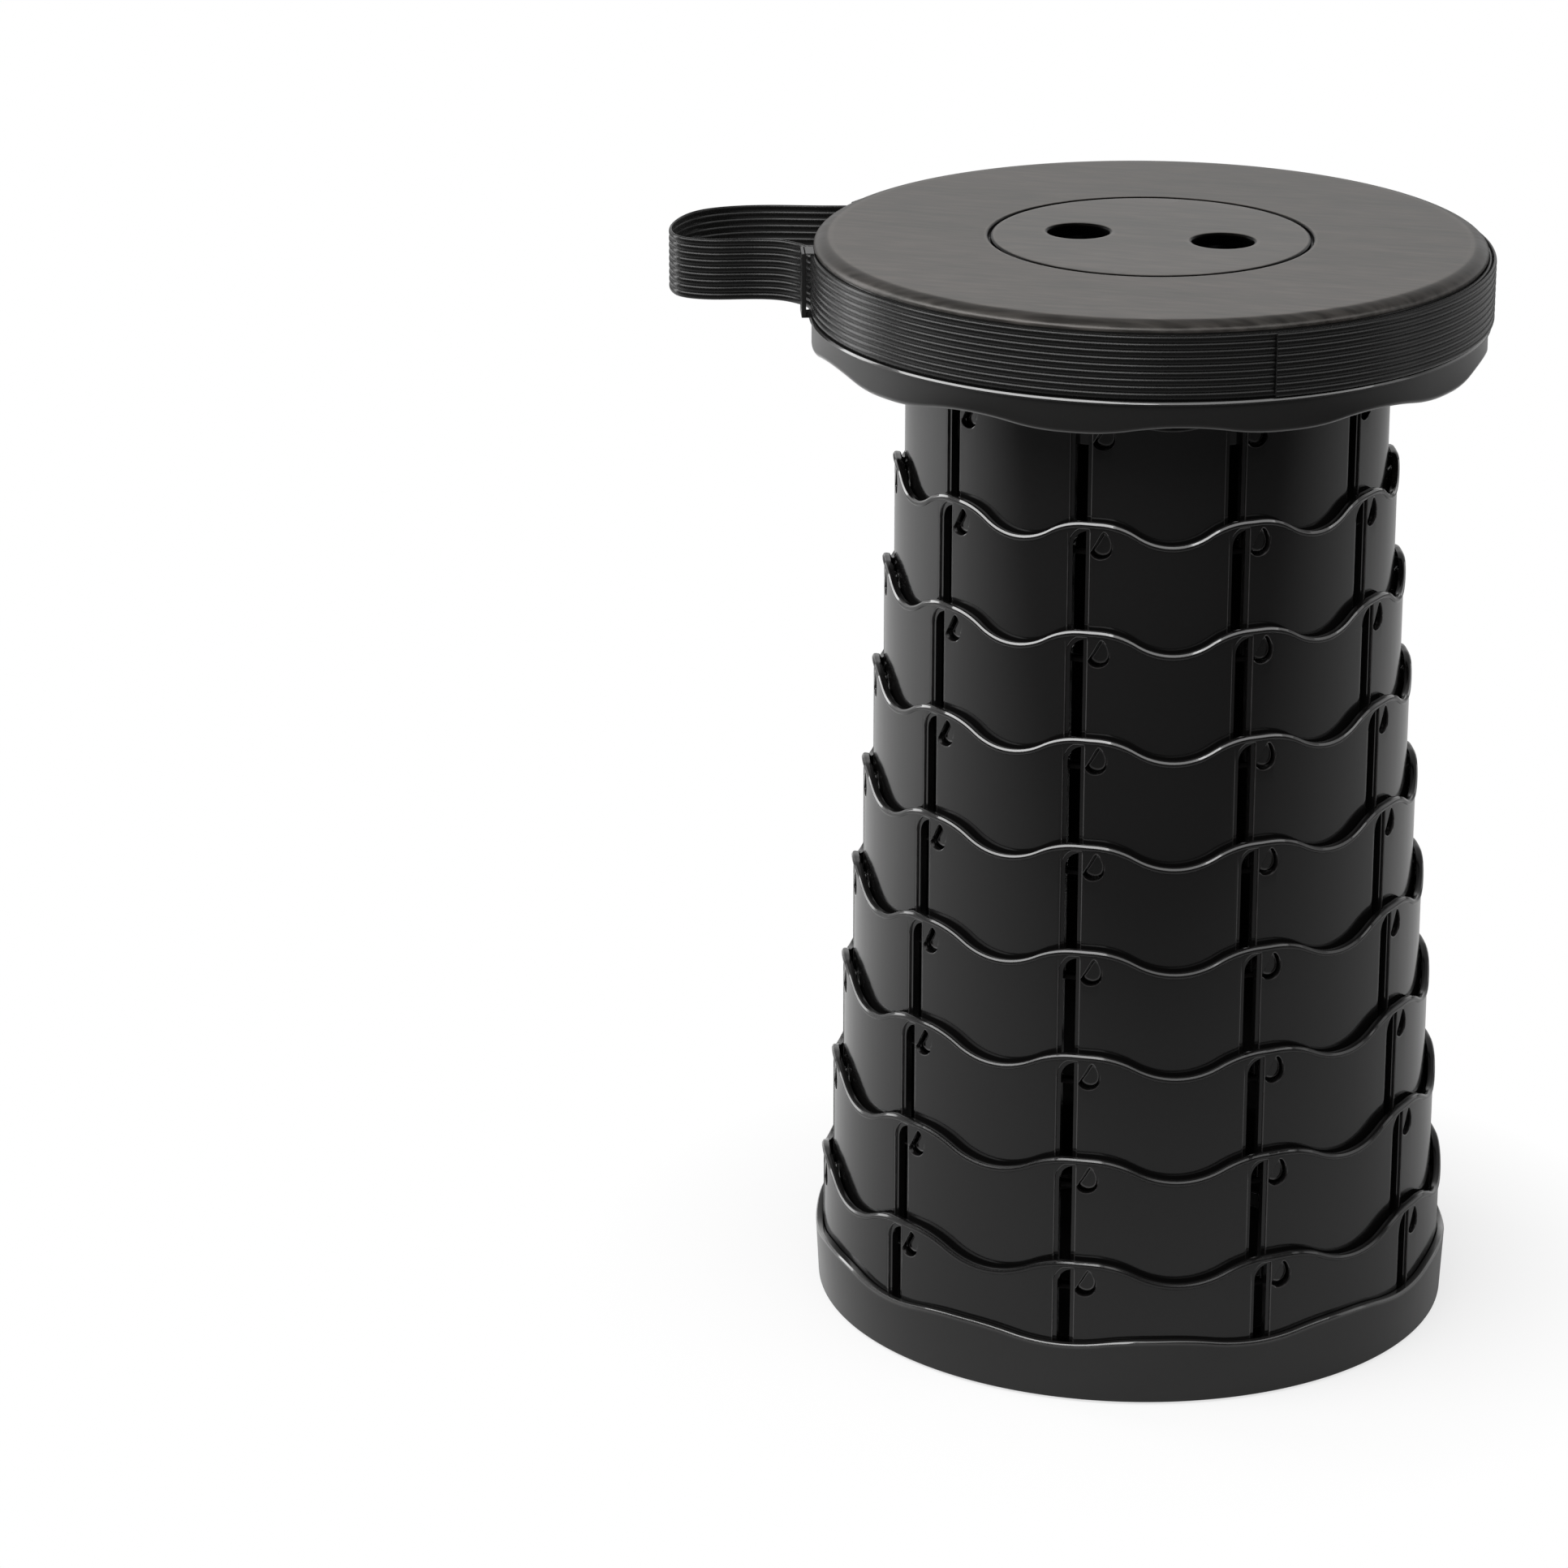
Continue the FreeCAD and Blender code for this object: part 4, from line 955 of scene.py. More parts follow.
# Half a two-hole disc's rays, its lines between the hole and the edge, and the
# distances from a round edge at which it has a line or a ray.
DISC_RAYS = 61
DISC_LINES = 7
EDGE_STEPS = np.array([0, 0.1, 0.25, 0.5, 0.85, 1.2, 2.5])
# The cap's edges fall by this much over this width.
CAP_DROP = 0.75
CAP_EDGE = 1.4
# How far the recess is wider and the cap narrower than the cap's radius.
RECESS_GAP = 0.7
CAP_GAP = 0.3
# The ribs under the seat: near and far end of each ring of them, their number in a
# ring, half their width and how far they hang below the rim's top.
RIB_ENDS = ((62.5, 76.0), (90.6, 111.9))
RIB_COUNT = 20
RIB_HALF = 0.9
RIB_DEPTH = 3.9
# Radii of the rim behind the strap, of the skirt and of the base's foot.
RIM_RADIUS = 124.2
SKIRT_RADIUS = 125.3
FOOT_RADIUS = 121.8
# Height of the strap's channel, from the lip to the rim's top.
CHANNEL_HEIGHT = 24.4
# The foot pads: how far from the axis, the radius and height of each outline
# from the ground up, and the gap between their tops and the base.
PAD_PLACE = 104.0
PAD_COUNT = 6
PAD_OUTLINES = ((7.6, 0.0), (8.0, 0.35))
PAD_TOP_RADIUS = 8.0
PAD_GAP = 0.02


def two_hole_disc(radius, hole, spacing, top_height, under):
    """A round plate with two round holes, as two closed halves that meet at x = 0.

    Each half is a grid: rays at every angle about its hole's middle, from the
    hole's edge to the plate's edge or to the line x = 0, closer together where
    that line meets the edge. top_height gives the height of the top at a
    distance from the nearest round edge, and under is the underside's height.
    """
    middle = spacing / 2
    corner = math.atan2(radius, -middle)
    front = np.linspace(-corner, corner, DISC_RAYS)
    close = np.arctan2(radius - EDGE_STEPS[1:], -middle)
    back = np.linspace(close[-1], 2 * math.pi - close[-1], DISC_RAYS)[1:-1]
    angle = np.concatenate([front, close, back, 2 * math.pi - close[::-1]])
    direction = np.stack([np.cos(angle), np.sin(angle)], axis=1)
    along = middle * direction[:, 0]
    to_circle = -along + np.sqrt(along ** 2 + radius ** 2 - middle ** 2)
    with np.errstate(divide="ignore", invalid="ignore"):
        to_line = np.where(direction[:, 0] < -1e-9, -middle / direction[:, 0], 1e9)
    reach = np.minimum(to_circle, to_line)
    near = hole + EDGE_STEPS[:, None]
    share = np.linspace(0, 1, DISC_LINES)[1:, None]
    spread = near[-1] + (reach[None, :] - 2.0 - near[-1]) * share
    far = reach[None, :] - EDGE_STEPS[-2::-1, None]
    run = np.concatenate([near + 0 * reach, spread, far])
    parts = []
    for side in (1, -1):
        x = (middle + run * direction[None, :, 0]) * side
        y = run * direction[None, :, 1]
        rim = np.minimum(radius - np.hypot(x, y), run - hole)
        top = np.stack([x, y, top_height(np.maximum(rim, 0))], axis=-1)
        base = np.stack([x, y, np.full_like(x, under)], axis=-1)
        points = np.concatenate([top, base[::-1]])
        quads = grid_quads(len(points), len(angle), True, True).reshape(-1, 4)
        parts.append((points.reshape(-1, 3), quads if side == -1 else quads[:, ::-1]))
    return joined(parts)


def soft_edge(radius, top, width, drop):
    """Corners of an edge that falls away on a quarter of an ellipse."""
    turn = np.linspace(0, math.pi / 2, 12)
    return np.stack([radius - width * (1 - np.sin(turn)), top - drop * (1 - np.cos(turn))], axis=1)


def flat_floor(rim):
    """Height of the recess's floor, the same at any distance from its edges."""
    return np.full_like(rim, SEAT_TOP - 2)


def domed(rim):
    """Height of the cap's top, which falls on a quarter of an ellipse at its edges."""
    share = 1 - np.minimum(rim / CAP_EDGE, 1)
    return SEAT_TOP - CAP_DROP * (1 - np.sqrt(np.clip(1 - share ** 2, 0, 1)))


def below_top(points):
    """1 for points well below the seat's top and 0 for those on it."""
    return np.clip((SEAT_TOP - points[:, 2] - 0.03) / 0.14, 0, 1)


class STOOL_OT_seat(bpy.types.Operator):
    """Build the seat plate, its centre cap and the ribs below"""

    bl_idname = "stool.seat"
    bl_label = "Seat"

    def execute(self, context):
        sizes = context.scene.stool_sizes
        radius = sizes.plate_radius / MM
        recess = sizes.cap_radius / MM + RECESS_GAP
        cap = sizes.cap_radius / MM - CAP_GAP
        hole = sizes.finger_radius / MM
        spacing = sizes.finger_spacing / MM
        outside = soft_edge(radius, SEAT_TOP, sizes.plate_edge / MM, sizes.plate_drop / MM)
        inside = soften([(recess, RIM_TOP + 0.2), (recess, SEAT_TOP), (recess + 20, SEAT_TOP)],
                        [0, 0.9, 0], 4)[5:10]
        flat = [(distance, SEAT_TOP)
                for distance in (radius - 7.6, recess + 30, recess + 1.6, recess + 1.25)]
        profile = np.concatenate([
            [(recess, RIM_TOP), (radius - 0.4, RIM_TOP), (radius, RIM_TOP + 0.3)],
            outside[::-1], flat, inside[::-1]])
        plate = turned_shell(np.c_[profile, np.zeros(len(profile))], PLATE_COLUMNS)
        floor = two_hole_disc(recess, hole, spacing, flat_floor, RIM_TOP - 0.6)
        points, faces = joined([plate, floor])
        away = np.hypot(points[:, 0], points[:, 1])
        # A painted highlight on the recess's edge and, half as much, where the soft edge begins.
        on_top = points[:, 2] > SEAT_TOP - 0.05
        wear = ((np.abs(away - recess - 1.08) < 0.2)
                + 0.5 * (on_top & (np.abs(away - radius + 6.0) < 0.7)))
        wear[len(plate[0]):] = 0
        # Painted shade below the seat's top: full in the gap round the cap and on the floor seen
        # through the finger holes, 0.45 on the falling soft edge and under the plate.
        painted_shade_share = np.where(away < recess + 1.0, 1.0, 0.45)
        add_piece("seat_skin", points, faces, "seat", "seat_grey", ("seat_plate",),
                  edge=wear, groove=below_top(points) * painted_shade_share)

        points, faces = two_hole_disc(cap, hole, spacing, domed, SEAT_TOP - 1.98)
        gap = np.minimum(cap - np.hypot(points[:, 0], points[:, 1]),
                         np.hypot(np.abs(points[:, 0]) - spacing / 2, points[:, 1]) - hole)
        # The cap gets a painted highlight, a thin ring 1.2 mm in from its edge and round each hole,
        # and painted shade on its falling edges and in the holes.
        add_piece("cap_skin", points, faces, "seat", "seat_grey", ("centre_cap",),
                  MATERIALS["cap_grey"], edge=np.abs(gap - 1.2) < 0.1, groove=below_top(points))

        ribs = []
        for near, far in RIB_ENDS:
            outline = [(near, -RIB_HALF), (far, -RIB_HALF), (far, RIB_HALF), (near, RIB_HALF)]
            rib, faces = bar(outline, RIM_TOP - RIB_DEPTH, RIM_TOP + 0.1)
            ribs += [(turned_about_axis(rib, number * 360 / RIB_COUNT), faces)
                     for number in range(RIB_COUNT)]
        bevelled(add_piece("seat_ribs", *joined(ribs), "seat", "seat_grey",
                           material=MATERIALS["rim_grey"]), 0.3)
        return {"FINISHED"}


def skirt_wave(angle):
    """Rise of the skirt's edge between the lobes that hang at the rings' crests."""
    depth = bpy.context.scene.stool_sizes.skirt_wave / MM
    return wave_drop(SKIRT_RADIUS, angle, depth, EDGE_WAVE_ANGLE + PERIOD / 2)


def base_wave(angle):
    """Fall of the base's edge below its crests, with its hollows at the rings' crests."""
    depth = bpy.context.scene.stool_sizes.skirt_wave / MM
    return -wave_drop(FOOT_RADIUS, angle, depth, EDGE_WAVE_ANGLE)


class STOOL_OT_rim(bpy.types.Operator):
    """Build the rim with the strap's channel, the lip and the wavy skirt"""

    bl_idname = "stool.rim"
    bl_label = "Rim"

    def execute(self, context):
        top = RIM_TOP
        lip = top - CHANNEL_HEIGHT
        low = SKIRT_LOW
        # Each corner's last value is its painted highlight: a pale line along the skirt's lower
        # edge and the lip's top edge.
        points, faces, wear = moulded_shell([
            (RIM_RADIUS, lip, 0.3, 0, 0), (RIM_RADIUS, top, 0.2, 0, 0), (112.2, top, 0.2, 0, 0),
            (112.2, top - 2, 0.3, 0, 0), (121.8, top - 2, 0.8, 0, 0), (121.8, lip - 2.8, 0.4, 0, 0),
            (123.1, lip - 1.4, 0.3, 0, 0), (123.1, low, 0.5, 1, 0), (124.85, low, 0.12, 1, 0.25),
            (SKIRT_RADIUS, low + 0.7, 0.12, 1, 0.25), (SKIRT_RADIUS, low + 1.6, 0.12, 1, 0),
            (SKIRT_RADIUS, lip - 1.4, 0.35, 0, 0), (126.5, lip - 1.4, 0.25, 0, 0),
            (126.5, lip - 0.8, 0.1, 0, 0.25), (126.02, lip, 0.1, 0, 0.25), (125.6, lip, 0.1, 0, 0)],
            3, SHELL_COLUMNS, skirt_wave)
        add_piece("rim_shell", points, faces, "seat", "rim_grey", ("seat_rim",), edge=wear)
        return {"FINISHED"}


class STOOL_OT_base(bpy.types.Operator):
    """Build the base cup and its rubber pads"""

    bl_idname = "stool.base"
    bl_label = "Base"

    def execute(self, context):
        foot, top = heights_mm("base_cup")
        # Each corner's last value is its painted highlight: a pale line along the top outer edge.
        points, faces, wear = moulded_shell([
            (FOOT_RADIUS, foot, 0.8, 0, 0), (122.88, top - 2, 0.12, 1, 0),
            (122.95, top - 0.8, 0.12, 1, 0.25), (122.45, top, 0.12, 1, 0.25),
            (120.1, top, 0.5, 1, 0), (120.1, foot + 2.4, 0.4, 0, 0), (82.2, foot + 2.4, 0.6, 0, 0),
            (82.2, foot + 6.4, 0.7, 0, 0), (80.0, foot + 6.4, 0.7, 0, 0), (80.0, foot, 0.5, 0, 0)],
            4, SHELL_COLUMNS, base_wave)
        add_piece("base_shell", points, faces, "base", "rim_grey", ("base_cup",), edge=wear)

        circle = circle_points(1.0, 0, 360, 41)[:-1]
        outlines = PAD_OUTLINES + ((PAD_TOP_RADIUS, foot - PAD_GAP),)
        pads = [capped([np.c_[middle + circle * radius, np.full(len(circle), height)]
                        for radius, height in outlines])
                for middle in circle_points(PAD_PLACE, 0, 360, PAD_COUNT + 1)[:-1]]
        add_piece("pad_discs", *joined(pads), "base", "pad_rubber", ("foot_pads",))
        return {"FINISHED"}


# --- strap -----------------------------------------------------------------

# Where the two guides stand, in degrees either side of -X.
GUIDE_ANGLE = 18.5
# The handle's middle line: shares of its reach past the rim and of half the
# distance between its ends, from the back guide round to the front one.
HANDLE_REACH = 57.0
HANDLE_SPREAD = 36.0
HANDLE_SHARES = [
    (-0.045, 0.935), (0.01, 0.9), (0.19, 0.82), (0.42, 0.74), (0.72, 0.57), (0.93, 0.28),
    (1.0, -0.15), (0.96, -0.6), (0.84, -0.86), (0.68, -0.9), (0.4, -0.77), (0.2, -0.72),
    (0.06, -0.8), (-0.02, -0.9), (-0.055, -0.965),
]
# Between the rim and the belt, and between the belt and the tail over it.
STRAP_GAP = 0.3
# Where the tail begins, and how far it goes round.
TAIL_START = -57.0
TAIL_SWEEP = 184.5
# Each rib of the webbing is an arc that turns by this angle to either side.
RIB_ANGLE = math.radians(62)
# Points across a rib.
RIB_POINTS = 12
# Points along the belt, the tail and the handle.
BELT_POINTS, TAIL_POINTS, HANDLE_POINTS = 300, 180, 170


def webbing_section(thickness, width, ribs):
    """Closed section of ribbed webbing, its rib height from 0 to 1, which marks the painted shade
    in the grooves, and its place across.

    Each rib is an arc of a circle from its top down to the sharp crease beside it. The grooves are
    deeper on the outer side, where they leave a tenth of the thickness's half, than on the back,
    where they leave half of it.
    """
    across = np.linspace(-0.5, 0.5, ribs * RIB_POINTS + 1)
    share = (across + 0.5) * ribs % 1.0 * 2 - 1
    flat = math.cos(RIB_ANGLE)
    swell = (np.sqrt(1 - (share * math.sin(RIB_ANGLE)) ** 2) - flat) / (1 - flat)
    half = thickness / 2
    out = np.c_[half * (0.1 + 0.9 * swell), across * width]
    back = np.c_[-half * (0.5 + 0.5 * swell), across * width][::-1]
    section = np.concatenate([out, back])
    return section, np.r_[swell, swell[::-1]], np.r_[across, across[::-1]] * width


def handle_points(middle):
    """Points of the handle's middle line, from guide to guide.

    middle is the radius of the belt's middle line, which both ends follow.
    """
    turn = np.radians(GUIDE_ANGLE) * np.array([0.99, 0.95, 0.91])
    first = np.stack([-middle * np.cos(turn), middle * np.sin(turn)], axis=1)
    shares = np.array(HANDLE_SHARES)
    loop = np.stack([-RIM_RADIUS - shares[:, 0] * HANDLE_REACH, shares[:, 1] * HANDLE_SPREAD],
                    axis=1)
    last = first[::-1] * (1, -1)
    return np.concatenate([first, loop, last])


def circle_points(radius, start, sweep, count):
    """Points on a circle about the axis, its start and sweep in degrees."""
    angle = np.radians(np.linspace(start, start + sweep, count))
    return np.stack([radius * np.cos(angle), radius * np.sin(angle)], axis=1)


class STOOL_OT_strap(bpy.types.Operator):
    """Build the belt, its free end and the handle from ribbed webbing"""

    bl_idname = "stool.strap"
    bl_label = "Strap"

    def execute(self, context):
        sizes = context.scene.stool_sizes
        thickness = sizes.strap_thickness / MM
        width = STRAP_HIGH - STRAP_LOW
        section, swell, across = webbing_section(thickness, width, sizes.strap_ribs)
        section = section + np.array([0, (STRAP_LOW + STRAP_HIGH) / 2])
        belt = RIM_RADIUS + STRAP_GAP + thickness / 2
        tail = belt + thickness + STRAP_GAP
        for name, node, path in (
                ("belt_webbing", "strap_belt",
                 circle_points(belt, 180 + GUIDE_ANGLE, 360 - 2 * GUIDE_ANGLE, BELT_POINTS)),
                ("tail_webbing", "strap_tail",
                 circle_points(tail, TAIL_START, TAIL_SWEEP, TAIL_POINTS)),
                ("handle_webbing", "strap_handle",
                 open_curve(handle_points(belt), HANDLE_POINTS))):
            points, faces = strip(path, section)
            run = np.r_[0, np.cumsum(np.linalg.norm(np.diff(path, axis=0), axis=1))]
            uv = np.stack(np.broadcast_arrays(run[None, :] * MM, across[:, None] * MM), axis=-1)
            # The rib height goes in as the edge value, which paints shade into the grooves.
            add_piece(name, points, faces, "seat", "webbing", (node,), sharp=60.0,
                      uv=uv.reshape(-1, 2), edge=np.repeat(swell, len(path)))
        return {"FINISHED"}


class STOOL_OT_guides(bpy.types.Operator):
    """Build the two windowed guides where the strap leaves the channel"""

    bl_idname = "stool.guides"
    bl_label = "Guides"

    def execute(self, context):
        low, high = heights_mm("strap_guides")
        face = 127.7
        deep = 1.7
        half = 5.5
        bar_width = 2.4
        foot_height = 0.4
        foot_start = 124.5
        window = (high - low - 3 * bar_width) / 2
        across = np.array([-half, -half + bar_width, half - bar_width, half])
        up = low + np.array([0, bar_width, bar_width + window, 2 * bar_width + window,
                             2 * bar_width + 2 * window, high - low])
        # The plate's cells, with a ring of open cells round them, and their points.
        kept = np.ones((5, 3), bool)
        kept[[1, 3], 1] = False
        index = np.arange(up.size * across.size).reshape(up.size, across.size)
        padded = np.pad(index, 1, mode="edge")
        quads = grid_quads(up.size, across.size, False, False)[kept]
        walls = side_walls(np.pad(kept, 1), padded, padded + index.size)
        plate = np.concatenate([quads, quads[:, ::-1] + index.size, walls])
        y, z = np.meshgrid(across, up)
        sides = [np.stack([np.full_like(y, out), y, z], axis=-1).reshape(-1, 3)
                 for out in (face + deep, face)]
        foot_end = face + deep / 2
        outline = [(foot_start, -half), (foot_end, -half), (foot_end, half), (foot_start, half)]
        pieces = [(np.concatenate(sides), plate)] + [
            bar(outline, level, level + foot_height) for level in (low, high - foot_height)]
        frames = joined([(turned_about_axis(points, turn), faces)
                         for turn in (180 - GUIDE_ANGLE, 180 + GUIDE_ANGLE)
                         for points, faces in pieces])
        bevelled(add_piece("guide_frames", *frames, "seat", "rim_grey", ("strap_guides",)), 0.3)
        return {"FINISHED"}


# --- buckle ----------------------------------------------------------------

BUCKLE_ANGLE = 133.5


class STOOL_OT_buckle(bpy.types.Operator):
    """Build the buckle's frame, its lever and its pin"""

    bl_idname = "stool.buckle"
    bl_label = "Buckle"

    @staticmethod
    def add(name, parts, body, slot, node, bevel):
        """Turn the parts, which face +Y, to the buckle's place and add them as one piece."""
        points, faces = joined(parts)
        bevelled(add_piece(name, turned_about_axis(points, BUCKLE_ANGLE - 90), faces, body, slot,
                           (node,)), bevel)

    def execute(self, context):
        back = 126.1
        half = 12
        sheet = 1.4
        overlap = 0.2
        cam = 3.3
        side = cam * math.tan(math.pi / 8)
        pin = back + sheet + cam / math.cos(math.pi / 8) + 0.3
        pin_radius = 1.25

        low, high = heights_mm("buckle_frame")
        cheek = soften([(-half, back), (half, back), (half, back + 2.8), (6, back + 8.2),
                        (-6, back + 8.2), (-half, back + 2.8)], [0.6, 0.6, 1.6, 2.4, 2.4, 1.6])
        plate = [(-half, back), (half, back), (half, back + sheet), (-half, back + sheet)]
        self.add("buckle_cheeks", [
            bar(cheek, low, low + sheet), bar(cheek, high - sheet, high),
            bar(plate, low + sheet - overlap, high - sheet + overlap)],
            "seat", "rim_grey", "buckle_frame", 0.3)

        front = pin - side
        lever = soften(
            [(-cam, front), (-side, pin - cam), (side, pin - cam), (cam, front),
             (13.0, front), (17.0, front + 4.0), (15.9, front + 6.2), (11.9, front + 3.3),
             (cam, pin + side), (side, pin + cam), (-side, pin + cam), (-cam, pin + side)],
            [1.1, 1.1, 1.1, 0.6, 1.4, 0.9, 0.9, 1.4, 0.8, 1.1, 1.1, 1.1])
        self.add("lever_bar", [bar(lever, *heights_mm("buckle_lever"))],
                 "lever", "lever_grey", "buckle_lever", 0.4)

        rod = circle_points(pin_radius, 0, 360, 33)[:-1] + (0, pin)
        self.add("pin_rod", [bar(rod, *heights_mm("buckle_pin"))],
                 "seat", "pin_steel", "buckle_pin", 0.2)
        return {"FINISHED"}


class STOOL_OT_screws(bpy.types.Operator):
    """Give the seat's screws their steel finish"""

    bl_idname = "stool.screws"
    bl_label = "Screws"

    def execute(self, context):
        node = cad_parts["seat_screws"]
        node.data.materials.clear()
        node.data.materials.append(MATERIALS["pin_steel"])
        return {"FINISHED"}


# --- studio ----------------------------------------------------------------

# The direction of the open, dark side of the studio.
FRONT = (0.274, -0.962, 0.0)
# Radii from the axis within which the floor is painted almost black, a painted shade for the
# object's deepest shadow, up to which that fades, and up to which the soft shadow reaches.
DARK_RADIUS, SHADE_RADIUS, CLEAR_RADIUS = 0.09, 0.118, 0.22
# What the lights aim at.
AIM = (0, 0, 0.25)
# Each light's place, the direction of its width, its width and height, the
# power it has a share of, and the share.
LIGHTS = {
    "key_left": ((-0.75, -1.0, 1.35), (-0.77, 0.64, -0.25), (2.6, 0.7), "key_power", 1.0),
    "key_right": ((0.95, -0.65, 1.3), (0.55, 0.8, -0.25), (2.0, 0.7), "key_power", 0.25),
    "side_left": ((-2.0, 0.4, 0.9), (0, 1, 0), (0.6, 1.6), "side_power", 1.0),
    "side_right": ((2.1, 0.4, 0.9), (0, 1, 0), (0.6, 1.6), "side_power", 0.2),
}
# The camera's place, its tilt and turn in degrees, and its lens, as they were
# fitted to the photograph.
CAMERA_PLACE = (0.4333, -2.0158, 0.9350)
CAMERA_TILT = 90 - 19.576
CAMERA_TURN = 15.9
CAMERA_LENS = 131.15


def towards_front(tree, place):
    """How far a place or direction lies towards the open, dark side of the studio."""
    return add_node(tree, "VectorMath", {0: place, 1: FRONT},
                    operation="DOT_PRODUCT").outputs["Value"]


def make_floor():
    """A wide floor that shows white, keeps the object's shadow and is painted dark under the
    object, a painted shade.

    To other surfaces it is a white sheet that fades towards the open side.
    """
    side = 30.0
    mesh = bpy.data.meshes.new("studio_floor")
    mesh.from_pydata([(-side, -side, 0), (side, -side, 0), (side, side, 0), (-side, side, 0)], [],
                     [(0, 1, 2, 3)])
    material, tree, shader, place = start_material("Studio floor")
    camera = add_node(tree, "LightPath").outputs["Is Camera Ray"]
    away = add_node(tree, "VectorMath", {0: place}, operation="LENGTH").outputs["Value"]
    sheet = fading(tree, towards_front(tree, place), -0.25, 0.62, 0.88, 0.14)
    # Painted shade: to the camera the floor is almost black under the object and fades to white
    # beyond it.
    shown = fading(tree, away, DARK_RADIUS, SHADE_RADIUS, 0.01, 0.9)
    grey = add_node(tree, "Mix", {0: camera, 2: sheet, 3: shown})
    set_inputs(tree, shader, {
        "Base Color": grey.outputs[0], "Roughness": 0.9, "Specular IOR Level": 0.1})
    clear = math_node(tree, "MULTIPLY", fading(tree, away, SHADE_RADIUS, CLEAR_RADIUS, 0.72, 1.0),
                      math_node(tree, "GREATER_THAN", away, SHADE_RADIUS))
    glow = add_node(tree, "Emission", {"Strength": 1.0})
    mix = add_node(tree, "MixShader", {
        0: math_node(tree, "MULTIPLY", camera, clear), 1: shader.outputs[0], 2: glow.outputs[0]})
    set_inputs(tree, tree.nodes["Material Output"], {"Surface": mix.outputs[0]})
    mesh.materials.append(material)
    floor = bpy.data.objects.new("studio_floor", mesh)
    bpy.context.scene.collection.objects.link(floor)


def make_world(strength):
    """A white surround that mirrors dark on the open side, with an even light of that strength.

    What it mirrors also fades upwards, where a direction rises by 0.27 to 0.43.
    """
    world = bpy.data.worlds.new("Studio")
    bpy.context.scene.world = world
    world.use_nodes = True
    tree = world.node_tree
    place = add_node(tree, "TexCoord").outputs["Generated"]
    rays = add_node(tree, "LightPath").outputs
    glossy = rays["Is Glossy Ray"]
    height = add_node(tree, "SeparateXYZ", {0: place}).outputs[2]
    mirrored = math_node(tree, "MULTIPLY",
                         fading(tree, towards_front(tree, place), -0.15, 0.3, 0.5, 0.06),
                         fading(tree, height, 0.27, 0.43, 1.4, 0.6))
    mirrored = math_node(tree, "MULTIPLY", mirrored, glossy)
    seen = math_node(tree, "ADD", rays["Is Camera Ray"], rays["Is Transmission Ray"])
    even = math_node(tree, "SUBTRACT", 1.0, math_node(tree, "ADD", seen, glossy), clamp=True)
    even = math_node(tree, "MULTIPLY", even, strength)
    level = math_node(tree, "ADD", math_node(tree, "ADD", mirrored, seen, clamp=True), even)
    set_inputs(tree, tree.nodes["Background"], {"Color": (1, 1, 1, 1), "Strength": level})


def add_panel(name, place, along, size, power):
    """A soft rectangular light that faces the object, its width along a direction."""
    data = bpy.data.lights.new(name, "AREA")
    data.shape = "RECTANGLE"
    data.size, data.size_y = size
    data.energy = power
    lamp = bpy.data.objects.new(name, data)
    bpy.context.scene.collection.objects.link(lamp)
    lamp.location = place
    back = (Vector(place) - Vector(AIM)).normalized()
    side = (Vector(along) - back * back.dot(Vector(along))).normalized()
    lamp.rotation_euler = Matrix((side, back.cross(side), back)).transposed().to_euler()


def make_camera():
    """The camera at the photograph's place, turn and lens."""
    data = bpy.data.cameras.new("camera")
    data.sensor_width = 36.0
    data.lens = CAMERA_LENS
    data.clip_end = 100.0
    camera = bpy.data.objects.new("camera", data)
    bpy.context.scene.collection.objects.link(camera)
    camera.location = CAMERA_PLACE
    camera.rotation_euler = (math.radians(CAMERA_TILT), 0, math.radians(CAMERA_TURN))
    bpy.context.scene.camera = camera


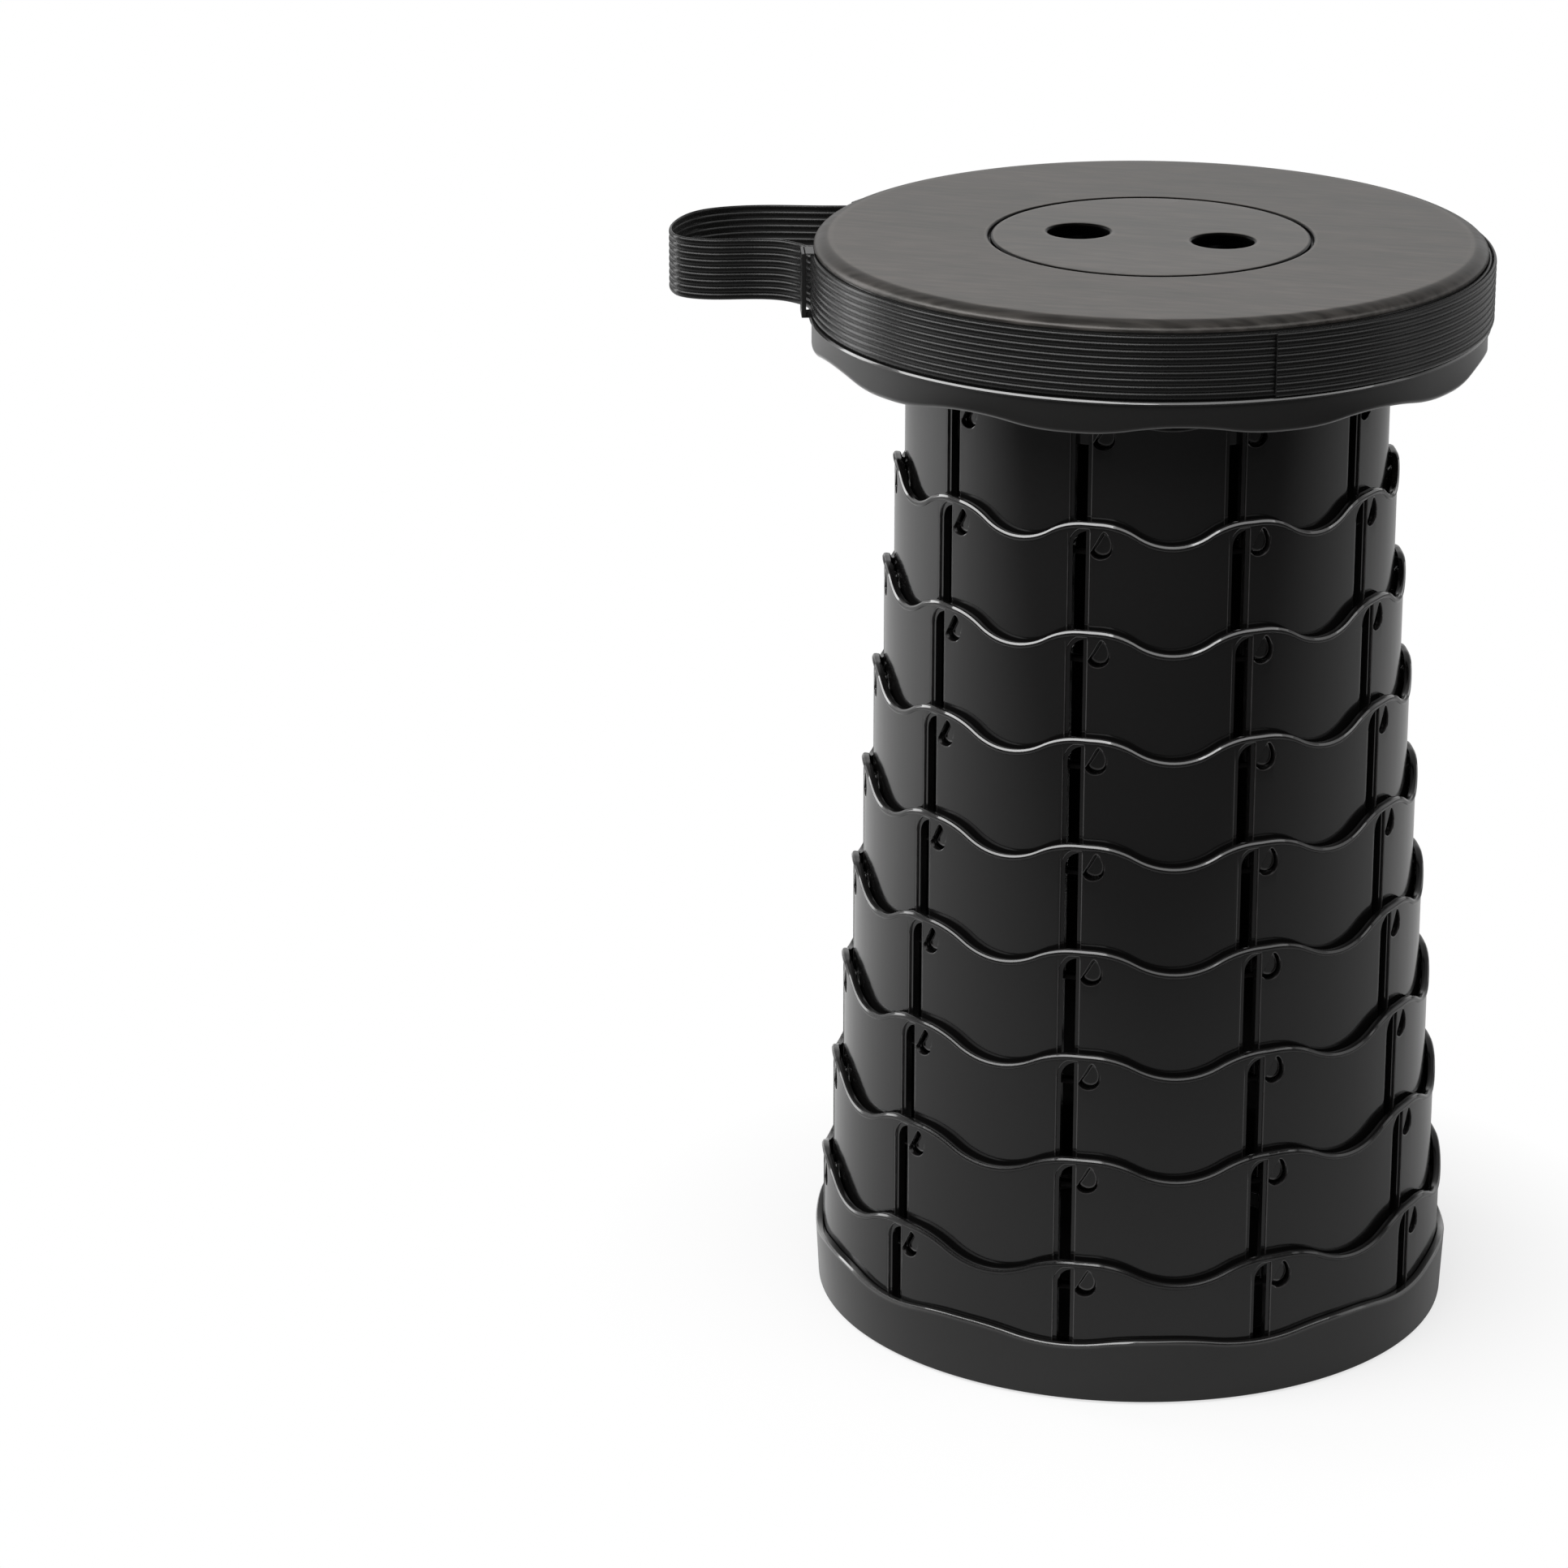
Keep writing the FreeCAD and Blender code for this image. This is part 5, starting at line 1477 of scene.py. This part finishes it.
class STOOL_OT_studio(bpy.types.Operator):
    """Build the floor, the light and the camera"""

    bl_idname = "stool.studio"
    bl_label = "Studio"

    def execute(self, context):
        studio = context.scene.stool_studio
        make_camera()
        make_floor()
        make_world(studio.sky)
        for name, (place, along, size, power, share) in LIGHTS.items():
            add_panel(name, place, along, size, getattr(studio, power) * share)
        context.scene.view_settings.view_transform = "Standard"
        return {"FINISHED"}


OPERATORS = (
    STOOL_OT_studio, STOOL_OT_rings, STOOL_OT_sleeve, STOOL_OT_seat, STOOL_OT_rim, STOOL_OT_base,
    STOOL_OT_strap, STOOL_OT_guides, STOOL_OT_buckle, STOOL_OT_screws)


class STOOL_PT_sidebar(bpy.types.Panel):
    """Lists the stool's sizes, colours and pieces"""

    bl_idname = "STOOL_PT_sidebar"
    bl_label = "Folding stool"
    bl_space_type = "VIEW_3D"
    bl_region_type = "UI"
    bl_category = "Stool"

    def draw(self, context):
        layout = self.layout
        for group in (context.scene.stool_sizes, context.scene.stool_colours,
                      context.scene.stool_studio):
            box = layout.box()
            for name in group.__annotations__:
                box.prop(group, name)
        for operator in OPERATORS:
            layout.operator(operator.bl_idname)


CLASSES = (StoolSizes, StoolColours, StoolStudio) + OPERATORS + (STOOL_PT_sidebar,)


def register():
    """Register the classes and their settings."""
    for made in CLASSES:
        bpy.utils.register_class(made)
    bpy.types.Scene.stool_sizes = PointerProperty(type=StoolSizes)
    bpy.types.Scene.stool_colours = PointerProperty(type=StoolColours)
    bpy.types.Scene.stool_studio = PointerProperty(type=StoolStudio)


def unregister():
    """Take the classes and their settings away."""
    del bpy.types.Scene.stool_studio
    del bpy.types.Scene.stool_colours
    del bpy.types.Scene.stool_sizes
    for made in reversed(CLASSES):
        bpy.utils.unregister_class(made)


def main():
    """Build the finishes, the studio and every piece."""
    register()
    make_finishes(bpy.context.scene.stool_colours)
    for operator in OPERATORS:
        group, name = operator.bl_idname.split(".")
        getattr(getattr(bpy.ops, group), name)()


if __name__ == "__main__":
    main()
